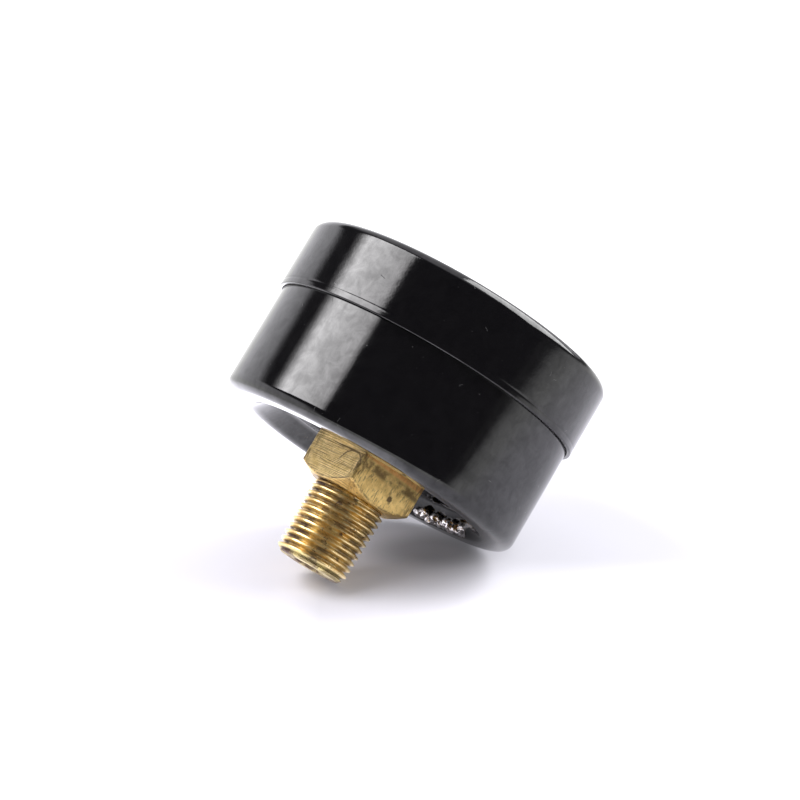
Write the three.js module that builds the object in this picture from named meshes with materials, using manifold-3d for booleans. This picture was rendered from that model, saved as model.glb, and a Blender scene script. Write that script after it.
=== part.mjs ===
// Dial pressure gauge with a centre back connection, 40 mm nominal size.
// Units are millimetres. The gauge axis is the Y axis: the dial faces -Y and the
// threaded stem points to +Y. +Z is the dial's twelve o'clock and +X its three o'clock.
// The origin is the middle of the bounding box, on the gauge axis.
// Positions across the axis are (x, z) pairs, and angles are counted anticlockwise
// from three o'clock as seen from the front. Pressure turns the pointer clockwise.

import * as THREE from "three";
import { mergeVertices } from "three/addons/utils/BufferGeometryUtils.js";
import Module from "manifold-3d";

const wasm = await Module();
wasm.setup();

const DEG = Math.PI / 180;
const ROUND = 48; // sides of the large round pieces
const MEDIUM = 32; // sides of the stem and the discs about as wide as it
const SMALL = 12; // sides of screws, pins and pillars

// ---------------------------------------------------------------- driving dimensions

const bezelRadius = 21.5;
const bezelSheet = 0.5;
const bezelOpening = 18.5;
const bezelCorner = 1.2;
const bezelDepth = 9.6; // from the front face to the lip
const slip = 0.07; // between the case and the bezel that slides over it

const caseSheet = 0.5;
const bodyDepth = 24.4; // from the bezel's front face to the case's back rim
const caseCorner = 1.6;
const recessRadius = 17.4; // where the flat rim ends and the recess begins
const recessDepth = 2.8;
const recessSlope = 50 * DEG; // of the recess wall against the floor
const recessBend = 1.6; // radius of the bends at the top and the foot of that wall

const squareFlats = (25.4 * 7) / 16; // of the wrench square, across flats
const squareEndDepth = 28.1; // from the front face to the wrench square's outer end
const overallLength = 38.4; // from the front face to the end of the stem
const threadPitch = 25.4 / 27;
const threadTipRadius = 4.93; // over the crests, at the small end
const threadHeight = 0.8 * threadPitch;
const threadTaper = 1 / 32; // radius gained for each millimetre away from the tip
const inletRadius = 2.0;
const passageRadius = 1.2;

const gearModule = 0.25;
const pinionTeeth = 12;
const wheelTeeth = 72; // teeth a full wheel on the sector's pitch circle would have
const pressureAngle = 25 * DEG;
const pointerSweep = 270 * DEG;
const zeroAngle = 225 * DEG; // the pointer at no pressure

const tubeRadius = 14.5; // of the tube's centre line
const tubeHeight = 5.0; // along the gauge axis
const tubeThickness = 1.6; // across it
const tubeWall = 0.3;
const tubeRootAngle = 215 * DEG; // where the free part of the tube starts
const tubeTipAngle = -35 * DEG; // where it ends, after running clockwise over the top
const tipPinRadius = 13.5; // distance of the tip's pin from the gauge axis
const tipPinAngle = -41 * DEG;
const tailLength = 3.4; // sector arbor to tail pin

const fine = 0.05; // clearance between pieces that touch on the real gauge
const overshoot = 1; // how far a cutting tool runs past the face it cuts

// Radii of the small shafts, pins and holes.
const pointerShaft = 0.45;
const pivot = 0.4; // the ends of both arbors
const pivotHole = pivot + 0.06;
const sectorArborRadius = 0.8;
const linkPin = 0.45; // both pins the link hangs on
const linkEye = linkPin + 0.35; // wide, to let the sector's tail pin follow its arc
const rivetRadius = 0.7;
const stopPinRadius = 0.4;
const hubNeck = 0.95;
const screwShank = 0.6;
const screwHole = screwShank + fine;
const screwHead = { radius: 1.2, height: 0.55 };
const bigScrewShank = 0.75;
const bigScrewHole = bigScrewShank + 0.1;
const bigScrewHead = { radius: 1.5, height: 0.75 };

// ------------------------------------------------------------- levels along the axis

const front = -overallLength / 2;
const stemEnd = overallLength / 2;
const bezelLip = front + bezelDepth;
const caseBack = front + bodyDepth;
const recessFloor = caseBack - recessDepth; // outer face of the recess floor
const bendDrop = recessBend * (1 - Math.cos(recessSlope));
const bendRun = recessBend * Math.sin(recessSlope);
const wallRun = (recessDepth - 2 * bendDrop) / Math.tan(recessSlope);
const recessFloorRadius = recessRadius - wallRun - 2 * bendRun;
const squareEnd = front + squareEndDepth;
const squareCornerRadius = squareFlats / Math.SQRT2;
const caseOuter = bezelRadius - bezelSheet - slip;

const lensFront = front + bezelSheet + fine;
const lensBack = lensFront + 1.5;
const gasketBack = lensBack + fine + 0.85;
const caseFront = gasketBack + fine;

const dialFront = caseFront + 2.8;
const dialBack = dialFront + 0.4;
const frontPlateFront = dialBack + 1.4;
const frontPlateBack = frontPlateFront + 0.8;
const backPlateFront = frontPlateBack + 4;
const backPlateBack = backPlateFront + 0.8;
const blockFront = backPlateBack + fine;
const shoulderBack = recessFloor - caseSheet - fine;
const shoulderFront = shoulderBack - 1.25;
const collarEnd = recessFloor + fine / 2;

const sectorFront = frontPlateBack + 1.8;
const sectorBack = sectorFront + 0.8;
const linkFront = sectorBack + 0.15;
const linkBack = linkFront + 0.5;
const tongueFront = linkBack + 0.15; // of the tongue on the tube's tip
const tubeLevel = blockFront + 3.95; // middle of the tube
const pointerFront = dialFront - 1.5;
const pointerBack = pointerFront + 0.3;

// ------------------------------------------------------------------- plane geometry

const polar = (radius, angle) => new THREE.Vector2(radius * Math.cos(angle), radius * Math.sin(angle));
const quarterTurn = (v) => new THREE.Vector2(-v.y, v.x);
const ORIGIN = new THREE.Vector2(0, 0);

// A tube that uncurls turns its tip about the centre of gravity of its free arc.
const freeArc = tubeRootAngle - tubeTipAngle;
const tipCentre = polar(
  (tubeRadius * Math.sin(freeArc / 2)) / (freeArc / 2),
  (tubeRootAngle + tubeTipAngle) / 2,
);
const sectorSwing = (pointerSweep * pinionTeeth) / wheelTeeth;
const tipPin = polar(tipPinRadius, tipPinAngle);
const tipArm = tipPin.distanceTo(tipCentre);
const tipSwing = 2 * Math.asin((tailLength * Math.sin(sectorSwing / 2)) / tipArm);

// The sector arbor stands where, at half travel, the link lies along the tip's motion
// and square to the sector's tail, and the sector still meshes with the pinion.
const pinionRadius = (gearModule * pinionTeeth) / 2;
const wheelRadius = (gearModule * wheelTeeth) / 2;
const centreDistance = pinionRadius + wheelRadius;
const tipPinMid = tipPin.clone().rotateAround(tipCentre, tipSwing / 2);
const pull = quarterTurn(tipPinMid.clone().sub(tipCentre)).normalize();
const tailMid = new THREE.Vector2(pull.y, -pull.x);
const besideArbor = tipPinMid.clone().addScaledVector(tailMid, -tailLength);
const alongPull = besideArbor.dot(pull);
const linkLength =
  alongPull + Math.sqrt(alongPull ** 2 - besideArbor.lengthSq() + centreDistance ** 2);
const arbor = besideArbor.clone().addScaledVector(pull, -linkLength);
const arborAngle = arbor.angle();
const tailAngle = tailMid.angle() - sectorSwing / 2; // at rest
const tailPin = polar(tailLength, tailAngle).add(arbor);

// Plate coordinates: `along` runs from the gauge axis towards the sector arbor.
const onPlate = (along, across) => new THREE.Vector2(along, across).rotateAround(ORIGIN, arborAngle);
const pillarSpots = [onPlate(-4.2, 4.6), onPlate(-4.2, -4.6), onPlate(centreDistance, -5)];
const movementScrewSpots = [onPlate(0, 4.2), onPlate(0, -4.2)];
const dialScrewSpots = { left: new THREE.Vector2(-5.2, 0), right: new THREE.Vector2(5.2, 0) };

// ---------------------------------------------------------------------- solid tools

function toSolid(geometry) {
  const bare = geometry.clone();
  bare.deleteAttribute("normal");
  bare.deleteAttribute("uv");
  const merged = mergeVertices(bare, 1e-4);
  const triVerts = new Uint32Array(merged.index.array);
  const vertProperties = new Float32Array(merged.attributes.position.array);
  return new wasm.Manifold(new wasm.Mesh({ numProp: 3, vertProperties, triVerts }));
}

function toGeometry(solid) {
  const mesh = solid.getMesh();
  const geometry = new THREE.BufferGeometry();
  geometry.setAttribute("position", new THREE.BufferAttribute(mesh.vertProperties, 3));
  geometry.setIndex(new THREE.BufferAttribute(mesh.triVerts, 1));
  return geometry;
}

const join = (...pieces) => toGeometry(pieces.map(toSolid).reduce((sum, piece) => sum.add(piece)));
const cut = (piece, ...tools) =>
  toGeometry(tools.map(toSolid).reduce((rest, tool) => rest.subtract(tool), toSolid(piece)));
const overlapOf = (a, b) => toGeometry(toSolid(a).intersect(toSolid(b)));

// A solid of revolution about the gauge axis from [radius, y] points. The profile is
// drawn with the material on its left, so that the faces point out.
function turned(points, sides = SMALL) {
  const profile = points.map(([radius, y]) => new THREE.Vector2(radius, y));
  return new THREE.LatheGeometry(profile, sides);
}

// The same from a closed ring of points, for a piece with a hole along the axis.
const turnedRing = (points, sides = SMALL) => turned([...points, points[0]], sides);

// A plain round rod along the axis.
const rod = (radius, from, to, sides = SMALL) =>
  turned([[0, from], [radius, from], [radius, to], [0, to]], sides);

// A washer, bush or ring with a square section.
const ring = (inner, outer, from, to, sides = SMALL) =>
  turnedRing([[inner, from], [outer, from], [outer, to], [inner, to]], sides);

// Points of an arc in a profile, both ends included.
function arc(centreRadius, centreY, radius, fromDegrees, toDegrees, steps) {
  return Array.from({ length: steps + 1 }, (_, i) => {
    const angle = (fromDegrees + ((toDegrees - fromDegrees) * i) / steps) * DEG;
    return [centreRadius + radius * Math.cos(angle), centreY + radius * Math.sin(angle)];
  });
}

// A flat plate: the outline lies across the axis and is as thick as from `from` to `to`.
function plate(shape, from, to, curveSegments = 8) {
  const options = { depth: to - from, bevelEnabled: false, curveSegments };
  return new THREE.ExtrudeGeometry(shape, options).rotateX(Math.PI / 2).translate(0, to, 0);
}

const moved = (geometry, spot) => geometry.translate(spot.x, 0, spot.y);

const outline = (points) => new THREE.Shape(points);
const hole = (spot, radius) =>
  new THREE.Path().absarc(spot.x, spot.y, radius, 0, 2 * Math.PI, true);

// A bar with round ends between two spots.
function barShape(a, b, halfWidth) {
  const angle = b.clone().sub(a).angle();
  const shape = new THREE.Shape();
  shape.absarc(a.x, a.y, halfWidth, angle + Math.PI / 2, angle + 1.5 * Math.PI);
  shape.absarc(b.x, b.y, halfWidth, angle - Math.PI / 2, angle + Math.PI / 2);
  return shape;
}

// A path round the gauge axis whose cross-section keeps its sides along and across it.
class RoundPath extends THREE.Curve {
  constructor(radius, level, fromAngle, toAngle) {
    super();
    Object.assign(this, { radius, level, fromAngle, toAngle });
  }

  angleAt(t) {
    return this.fromAngle + (this.toAngle - this.fromAngle) * t;
  }

  getPoint(t) {
    const spot = polar(this.radius, this.angleAt(t));
    return new THREE.Vector3(spot.x, this.level, spot.y);
  }

  computeFrenetFrames(segments) {
    const sense = Math.sign(this.toAngle - this.fromAngle);
    const frames = { tangents: [], normals: [], binormals: [] };
    for (let i = 0; i <= segments; i++) {
      const out = polar(1, this.angleAt(i / segments));
      frames.tangents.push(new THREE.Vector3(-out.y * sense, 0, out.x * sense));
      frames.normals.push(new THREE.Vector3(out.x, 0, out.y));
      frames.binormals.push(new THREE.Vector3(0, sense, 0));
    }
    return frames;
  }
}

// The tube's flattened section, made larger or smaller all round by `grow`.
function ovalPoints(grow, sides = 12) {
  const halfHeight = tubeHeight / 2 + grow;
  const halfThickness = tubeThickness / 2 + grow;
  return Array.from({ length: sides }, (_, i) => {
    const angle = (2 * Math.PI * i) / sides;
    return new THREE.Vector2(halfThickness * Math.cos(angle), halfHeight * Math.sin(angle));
  });
}

function ovalSweep(outer, inner, fromAngle, toAngle, steps) {
  const shape = outline(ovalPoints(outer));
  if (inner !== null) shape.holes.push(new THREE.Path(ovalPoints(inner).reverse()));
  const extrudePath = new RoundPath(tubeRadius, tubeLevel, fromAngle, toAngle);
  return new THREE.ExtrudeGeometry(shape, { steps, extrudePath, bevelEnabled: false });
}

// ------------------------------------------------------------------------ materials

const finish = (color, roughness, metalness) =>
  new THREE.MeshStandardMaterial({ color, roughness, metalness });
const blackPaint = () => finish(0x0b0b0c, 0.18, 0.0);
const brass = () => finish(0xb08d3c, 0.38, 1.0);
const dullBrass = () => finish(0x9a7f3a, 0.5, 1.0);
const bronze = () => finish(0xa87a45, 0.4, 1.0);
const steel = () => finish(0xb9babb, 0.35, 1.0);
const solder = () => finish(0xb9b6b2, 0.32, 1.0);
const rubber = () => finish(0x1a1a1a, 0.8, 0.0);
const whiteEnamel = () => finish(0xf2f1ec, 0.45, 0.0);
const pointerPaint = () => finish(0x161616, 0.5, 0.0);

function clear() {
  const glass = finish(0xf4f8f8, 0.05, 0.0);
  glass.transparent = true;
  glass.opacity = 0.3;
  return glass;
}

function piece(name, geometry, material) {
  const mesh = new THREE.Mesh(geometry, material);
  mesh.name = name;
  return mesh;
}

// ------------------------------------------------------------------ casing and window

// The dished recess from the rim to its floor, `out` millimetres outside the sheet's
// outer face.
function recessWall(out, steps) {
  const lipY = caseBack - recessBend;
  const footY = recessFloor + recessBend;
  const slope = recessSlope / DEG;
  return [
    ...arc(recessRadius, lipY, recessBend + out, 90, 90 + slope, steps),
    ...arc(recessFloorRadius, footY, recessBend - out, slope - 90, -90, steps),
  ];
}

// A drawn steel cup: wall, rounded back rim, and a dished recess the stem comes out of.
function caseCup() {
  const inner = caseOuter - caseSheet;
  const rimRadius = caseOuter - caseCorner;
  const rimY = caseBack - caseCorner;
  const stemHole = squareCornerRadius + 0.27;
  const outside = [
    [caseOuter, caseFront],
    ...arc(rimRadius, rimY, caseCorner, 0, 90, 3),
    ...recessWall(0, 2),
    [stemHole, recessFloor],
  ];
  const inside = [
    [stemHole, recessFloor - caseSheet],
    ...recessWall(-caseSheet, 2).reverse(),
    ...arc(rimRadius, rimY, caseCorner - caseSheet, 90, 0, 2),
    [inner, caseFront],
  ];
  return turnedRing([...outside, ...inside], ROUND);
}

// The cover ring slides over the case; its front face holds the window in.
function bezel() {
  const cornerRadius = bezelRadius - bezelCorner;
  const cornerY = front + bezelCorner;
  const edge = bezelSheet / 2; // the opening's edge is rounded over
  return turnedRing(
    [
      ...arc(bezelOpening + edge, front + edge, edge, 90, 270, 3),
      ...arc(cornerRadius, cornerY, bezelCorner, -90, 0, 3),
      [bezelRadius, bezelLip],
      [bezelRadius - bezelSheet, bezelLip],
      ...arc(cornerRadius, cornerY, bezelCorner - bezelSheet, 0, -90, 2),
    ],
    ROUND,
  );
}

const windowRadius = bezelRadius - bezelCorner - fine; // clears the inside of the corner
const lens = () => rod(windowRadius, lensFront, lensBack, ROUND);

// The gasket lies behind the window and takes the push of the case's front edge.
const lensGasket = () => ring(windowRadius - 1.4, caseOuter, lensBack + fine, gasketBack, ROUND);

// ------------------------------------------------------------------- dial and pointer

const pointerHalfWidth = 0.5; // where the stop pin meets the pointer
const stopPinReach = 9.5;
const stopPinSpot = polar(
  stopPinReach,
  zeroAngle + (pointerHalfWidth + stopPinRadius + fine) / stopPinReach,
);

// A flat disc with holes for the pointer's shaft, the two screws and the stop pin.
function dial() {
  const radius = caseOuter - caseSheet - 0.8;
  const rim = Array.from({ length: ROUND }, (_, i) => polar(radius, (2 * Math.PI * i) / ROUND));
  const shape = outline(rim);
  const centreHole = hole(ORIGIN, 1.6);
  const screwHoles = Object.values(dialScrewSpots).map((spot) => hole(spot, screwHole));
  const pinHole = hole(stopPinSpot, stopPinRadius + fine);
  shape.holes.push(centreHole, ...screwHoles, pinHole);
  return plate(shape, dialFront, dialBack);
}

// A cheese-head screw: the slotted head faces the front and stands on `seat`, and the
// shank ends at `shankEnd`.
function slottedScrew(spot, head, shank, seat, shankEnd) {
  const headBack = seat - fine;
  const headFront = headBack - head.height;
  const tip = shank / 3;
  const body = turned([
    [0, headFront],
    [head.radius, headFront],
    [head.radius, headBack],
    [shank, headBack],
    [shank, shankEnd - tip],
    [shank - tip, shankEnd],
    [0, shankEnd],
  ]);
  const slotDepth = 0.4 * head.height;
  const slot = new THREE.BoxGeometry(2 * head.radius + overshoot, 2 * slotDepth, 0.25 * head.radius);
  slot.translate(0, headFront, 0);
  return moved(cut(body, slot), spot);
}

const dialScrew = (spot) =>
  slottedScrew(spot, screwHead, screwShank, dialFront, frontPlateFront + 0.6);
const dialPost = (spot) =>
  moved(ring(screwHole, 1.15, dialBack + fine, frontPlateFront - fine), spot);

// A plain pin through the dial; the pointer rests against it at no pressure.
const stopPin = () =>
  moved(rod(stopPinRadius, pointerFront - 0.3, dialBack + 0.3), stopPinSpot);

// The blade tapers to a point over the scale and has a short broad tail.
function pointer() {
  const tipReach = 14.5;
  const tailReach = 5.5;
  const bossRadius = 1.9;
  const upperEdge = [
    [tipReach - 0.6, 0.14],
    [bossRadius, 0.75],
    [0, bossRadius],
    [-bossRadius, 0.8],
    [-tailReach, 1.3],
  ].map(([along, across]) => new THREE.Vector2(along, across));
  const lowerEdge = upperEdge.map((point) => new THREE.Vector2(point.x, -point.y)).reverse();
  const shape = outline([new THREE.Vector2(tipReach, 0), ...upperEdge, ...lowerEdge]);
  shape.holes.push(hole(ORIGIN, hubNeck + fine));
  return plate(shape, pointerFront, pointerBack).rotateY(-zeroAngle);
}

// A stepped brass bush pressed on the pinion's shaft; its flange carries the blade.
function pointerHub() {
  const bore = pointerShaft + fine;
  const flange = 1.5;
  const flangeFront = pointerFront - 0.4;
  const neckEnd = pointerBack + 0.6;
  return turnedRing([
    [bore, flangeFront],
    [flange, flangeFront],
    [flange, pointerFront - fine],
    [hubNeck, pointerFront - fine],
    [hubNeck, neckEnd],
    [bore, neckEnd],
  ]);
}

// -------------------------------------------------------------- stem and socket block

const lugHalfWidth = 4;
const lugAngle = tubeRootAngle + Math.asin(lugHalfWidth / tubeRadius);
const slotEndAngle = lugAngle + 5 * DEG; // the slot runs on past the tube's open end

// A square with a corner at twelve o'clock, its outer end chamfered to a cone. It starts
// at the round collar that fills the hole in the case.
function wrenchSquare() {
  const from = collarEnd - fine;
  const height = squareEnd - from;
  const prism = new THREE.CylinderGeometry(squareCornerRadius, squareCornerRadius, height, 4);
  prism.translate(0, from + height / 2, 0);
  const insideFlats = squareFlats / 2 - 0.05;
  const coneDepth = (squareCornerRadius + overshoot - insideFlats) * Math.tan(30 * DEG);
  const envelope = turned(
    [
      [0, from - overshoot],
      [squareCornerRadius + overshoot, from - overshoot],
      [squareCornerRadius + overshoot, squareEnd - coneDepth],
      [insideFlats, squareEnd],
      [0, squareEnd],
    ],
    MEDIUM,
  );
  return overlapOf(prism, envelope);
}

// The tapered thread, as ridges one pitch apart that end in a chamfer.
function taperThread() {
  const crestRadius = (y) => threadTipRadius + (stemEnd - y) * threadTaper;
  const chamfer = 0.75;
  const turns = Math.floor((stemEnd - chamfer - squareEnd) / threadPitch);
  const first = stemEnd - chamfer - turns * threadPitch;
  const profile = [[0, squareEnd - 1], [crestRadius(squareEnd) - threadHeight, squareEnd - 1]];
  for (let turn = 0; turn < turns; turn++) {
    const root = first + turn * threadPitch;
    const crest = root + threadPitch / 2;
    profile.push([crestRadius(root) - threadHeight, root]);
    profile.push([crestRadius(crest), crest]);
  }
  const last = stemEnd - chamfer;
  profile.push([crestRadius(last) - threadHeight * 0.6, last]);
  profile.push([crestRadius(last) - chamfer, stemEnd]);
  profile.push([0, stemEnd]);
  return turned(profile, MEDIUM);
}

// The lug reaches out from the block to the tube and takes its root in a slot.
function rootLug() {
  const reach = tubeRadius + 3;
  const height = tubeHeight + 1.2;
  const lug = new THREE.BoxGeometry(reach, height, 2 * lugHalfWidth);
  lug.translate(reach / 2, tubeLevel, 0);
  return lug.rotateY(-lugAngle);
}

// The passage from the stem meets the slot just beyond the tube's open end.
function crossPassage() {
  const middle = (lugAngle + slotEndAngle) / 2;
  const drillRadius = 0.6;
  const drill = new THREE.CylinderGeometry(drillRadius, drillRadius, tubeRadius, SMALL);
  drill.rotateZ(Math.PI / 2).translate(tubeRadius / 2, tubeLevel, 0);
  return drill.rotateY(-middle);
}

// One brass piece from the thread to the block the movement stands on. The shoulder
// bears on the inside of the case.
function socket() {
  const block = rod(6.5, blockFront, shoulderFront + 0.5, MEDIUM);
  const shoulder = rod(9.6, shoulderFront, shoulderBack, MEDIUM);
  const collar = rod(squareCornerRadius + 0.1, shoulderBack - fine, collarEnd, MEDIUM);
  const solid = join(wrenchSquare(), taperThread(), collar, shoulder, block, rootLug());
  const passageEnd = tubeLevel - passageRadius;
  const restrictorSeat = stemEnd - 6.5;
  const inlet = rod(inletRadius, restrictorSeat, stemEnd + overshoot, SMALL);
  const passage = rod(passageRadius, passageEnd, restrictorSeat + overshoot, SMALL);
  const tubeSlot = ovalSweep(0.15, null, slotEndAngle, tubeRootAngle - 8 * DEG, 6);
  const tappedHoles = movementScrewSpots.map((spot) =>
    moved(rod(bigScrewShank + fine, blockFront - overshoot, blockFront + 3.6), spot),
  );
  return cut(solid, inlet, passage, crossPassage(), tubeSlot, ...tappedHoles);
}

// A screw with a fine hole through it, set in the inlet to damp pressure shocks.
function restrictorScrew() {
  const outEnd = stemEnd - 1.6;
  const screwLength = 3.6;
  const fineHole = 0.3;
  const body = ring(fineHole, inletRadius - 0.08, outEnd - screwLength, outEnd);
  const slotDepth = 0.6;
  const slot = new THREE.BoxGeometry(2 * inletRadius + overshoot, 2 * slotDepth, 0.5);
  slot.translate(0, outEnd, 0);
  return cut(body, slot);
}

// Solder run settled in the recess against its wall, in lumps that flow together and
// stand a little higher than the rim.
function caseSolder() {
  const reach = recessRadius - 1.6;
  const level = caseBack - 0.9;
  const lumps = [
    { angle: 240, radius: 1.2, height: 1.1 },
    { angle: 235, radius: 1.1, height: 1.2 },
    { angle: 230, radius: 1.25, height: 1.2 },
    { angle: 225, radius: 1.2, height: 1.1 },
    { angle: 220, radius: 1.25, height: 1.2 },
    { angle: 215.5, radius: 1.2, height: 1.2 },
    { angle: 211.5, radius: 1.0, height: 0.9 },
  ];
  const balls = lumps.map(({ angle, radius, height }) =>
    new THREE.SphereGeometry(1, 12, 8)
      .scale(radius, height, radius)
      .translate(reach, level, 0)
      .rotateY(-angle * DEG),
  );
  const seat = recessFloor + fine;
  const sheetSide = turned(
    [
      [0, recessFloor - 4],
      [caseOuter, recessFloor - 4],
      [caseOuter, caseBack + fine],
      ...recessWall(fine, 2),
      [0, seat],
    ],
    ROUND,
  );
  return cut(join(...balls), sheetSide);
}

// ------------------------------------------------------------------------ bourdon tube

const bourdonTube = () => ovalSweep(0, -tubeWall, lugAngle, tubeTipAngle, 28);

// A collar of solder where the tube leaves the lug.
function tubeRootSolder() {
  const swell = 0.75;
  const innerSide = tubeRadius - tubeThickness / 2 - swell;
  const start = lugAngle - Math.asin(lugHalfWidth / innerSide) - 0.3 * DEG;
  return ovalSweep(swell, fine, start, start - 4 * DEG, 1);
}

// The tip's pieces are placed from the point the tip turns about.
const fromTipCentre = (geometry) => geometry.translate(-tipCentre.x, 0, -tipCentre.y);

// The plug closes the tube, and its tongue comes forward to the link.
function tubeTip() {
  const plug = ovalSweep(-tubeWall - fine, null, tubeTipAngle + 8 * DEG, tipPinAngle, 3);
  const length = 2.7; // round the tube
  const head = new THREE.BoxGeometry(2, tubeHeight + 0.4, length);
  head.translate(tubeRadius, tubeLevel, 0);
  const tongueBack = tubeLevel - 1;
  const tongue = new THREE.BoxGeometry(2.2, tongueBack - tongueFront, length);
  tongue.translate(tipPinRadius, (tongueBack + tongueFront) / 2, 0);
  const block = join(head.rotateY(-tipPinAngle), tongue.rotateY(-tipPinAngle), plug);
  const pinHole = moved(rod(linkPin + fine, tongueFront - overshoot, tongueFront + 2.2), tipPin);
  return fromTipCentre(cut(block, pinHole));
}

// --------------------------------------------------------------------------- movement

// The tip's pin has its head in front of the link and its end in the tip's tongue.
function tipPinSolid() {
  const headRadius = 0.9;
  const headFront = linkFront - 0.5;
  const end = tongueFront + 2;
  return turned([
    [0, headFront],
    [headRadius, headFront],
    [headRadius, linkFront - fine],
    [linkPin, linkFront - fine],
    [linkPin, end],
    [0, end],
  ]);
}

// The sector's tail pin is riveted in the sector and has its head behind the link.
function sectorTailPin() {
  const headRadius = 1.2;
  const headBack = linkBack + 0.4;
  const rivetEnd = sectorFront - 0.2;
  return turned([
    [0, rivetEnd],
    [linkPin, rivetEnd],
    [linkPin, linkBack + fine],
    [headRadius, linkBack + fine],
    [headRadius, headBack],
    [0, headBack],
  ]);
}

// A strap from the tip's pin, at its own origin, to the sector's tail pin.
function link() {
  const far = tailPin.clone().sub(tipPin);
  const strap = plate(barShape(ORIGIN, far, 0.7), linkFront, linkBack);
  const nearBoss = rod(1.15, linkFront, linkBack);
  const farBoss = moved(rod(1.5, linkFront, linkBack), far);
  const nearEye = rod(linkPin + fine, linkFront - overshoot, linkBack + overshoot);
  const farEye = moved(rod(linkEye, linkFront - overshoot, linkBack + overshoot), far);
  return cut(join(strap, nearBoss, farBoss), nearEye, farEye);
}

const involute = (angle) => Math.tan(angle) - angle;

// One tooth of a gear about `middle`, from root to root, as points round the gear.
function toothPoints(teeth, middle) {
  const pitchRadius = (gearModule * teeth) / 2;
  const baseRadius = pitchRadius * Math.cos(pressureAngle);
  const rootRadius = pitchRadius - 1.1 * gearModule;
  const tipRadius = pitchRadius + 0.8 * gearModule;
  const thinning = 0.04;
  const halfAtPitch = Math.PI / (2 * teeth) - thinning / (2 * pitchRadius) + involute(pressureAngle);
  const halfAngle = (radius) =>
    halfAtPitch - involute(Math.acos(baseRadius / Math.max(radius, baseRadius)));
  const radii = [rootRadius, Math.max(baseRadius, rootRadius + 0.05), pitchRadius, tipRadius];
  const rising = radii.map((radius) => polar(radius, middle - halfAngle(radius)));
  const falling = radii.map((radius) => polar(radius, middle + halfAngle(radius))).reverse();
  return [...rising, ...falling];
}

// The pinion is cut on its arbor: front shaft for the pointer, two pivots, one gear.
function pinionArbor() {
  const bodyRadius = 0.58;
  const shaft = turned([
    [0, pointerFront - 0.3],
    [pointerShaft, pointerFront - 0.3],
    [pointerShaft, frontPlateBack + fine],
    [bodyRadius, frontPlateBack + fine],
    [bodyRadius, backPlateFront - fine],
    [pivot, backPlateFront - fine],
    [pivot, backPlateBack - 0.1],
    [0, backPlateBack - 0.1],
  ]);
  const faceMargin = 0.5; // the pinion is wider than the sector on both sides
  const teeth = Array.from({ length: pinionTeeth }, (_, i) =>
    toothPoints(pinionTeeth, arborAngle + (2 * Math.PI * i) / pinionTeeth),
  );
  const gear = plate(outline(teeth.flat()), sectorFront - faceMargin, sectorBack + faceMargin);
  return join(shaft, gear);
}

// The sector gear, about its own arbor: toothed rim, arm, boss and tail.
function sectorGear() {
  const pitch = (2 * Math.PI) / wheelTeeth;
  const sideTeeth = 7; // on each side of the middle tooth
  const middle = arborAngle + Math.PI - sectorSwing / 2;
  const rimAngle = (sideTeeth + 0.5) * pitch;
  const rimInner = wheelRadius - 1.4;
  const teeth = Array.from({ length: 2 * sideTeeth + 1 }, (_, i) =>
    toothPoints(wheelTeeth, middle + (i - sideTeeth) * pitch),
  );
  const innerArc = Array.from({ length: 9 }, (_, i) =>
    polar(rimInner, middle + rimAngle * (1 - i / 4)),
  );
  const rim = plate(outline([...teeth.flat(), ...innerArc]), sectorFront, sectorBack);
  const armEnd = polar(rimInner + 0.4, middle);
  const spread = 0.62; // of the rim's half angle, between the middle arm and the outer ones
  const arms = [-spread, 0, spread].map((share) =>
    plate(
      barShape(ORIGIN, armEnd.clone().rotateAround(ORIGIN, share * rimAngle), 0.55),
      sectorFront,
      sectorBack,
    ),
  );
  const tail = plate(barShape(ORIGIN, polar(tailLength, tailAngle), 1.1), sectorFront, sectorBack);
  const boss = rod(1.8, sectorFront, sectorBack);
  const arborHole = rod(sectorArborRadius + fine, sectorFront - overshoot, sectorBack + overshoot);
  const pinHole = moved(
    rod(linkPin + fine, sectorFront - overshoot, sectorBack + overshoot),
    polar(tailLength, tailAngle),
  );
  return cut(join(rim, ...arms, tail, boss), arborHole, pinHole);
}

// A plain arbor with a pivot at each end, pressed in the sector.
function sectorArbor() {
  return turned([
    [0, frontPlateFront + 0.1],
    [pivot, frontPlateFront + 0.1],
    [pivot, frontPlateBack + fine],
    [sectorArborRadius, frontPlateBack + fine],
    [sectorArborRadius, backPlateFront - fine],
    [pivot, backPlateFront - fine],
    [pivot, backPlateBack - 0.1],
    [0, backPlateBack - 0.1],
  ]);
}

const springInner = 1.15;
const springOuter = 4.0;
const springTurns = 3.5;
const springFront = frontPlateBack + 0.45;
const springBack = springFront + 0.6;
const springEndAngle = zeroAngle + springTurns * 2 * Math.PI;

// A flat spiral strip that takes the slack out of the gears.
function hairspring() {
  const strip = 0.12;
  const steps = springTurns * 20;
  const side = (offset) =>
    Array.from({ length: steps + 1 }, (_, i) => {
      const share = i / steps;
      const radius = springInner + (springOuter - springInner) * share + offset;
      return polar(radius, zeroAngle + springTurns * 2 * Math.PI * share);
    });
  const shape = outline([...side(strip / 2), ...side(-strip / 2).reverse()]);
  return plate(shape, springFront, springBack);
}

// The collet fits on the pinion's arbor and holds the spring's inner end.
const hairspringCollet = () => ring(0.63, springInner - 0.1, springFront - 0.1, springBack + 0.1);

// The stud hangs from the front plate beside the spring's outer end.
function hairspringStud() {
  const size = 0.9;
  const from = frontPlateBack + fine;
  const stud = new THREE.BoxGeometry(size, springBack - from, size);
  stud.translate(springOuter, (springBack + from) / 2, size / 2 + 0.08);
  return stud.rotateY(-springEndAngle);
}

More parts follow.
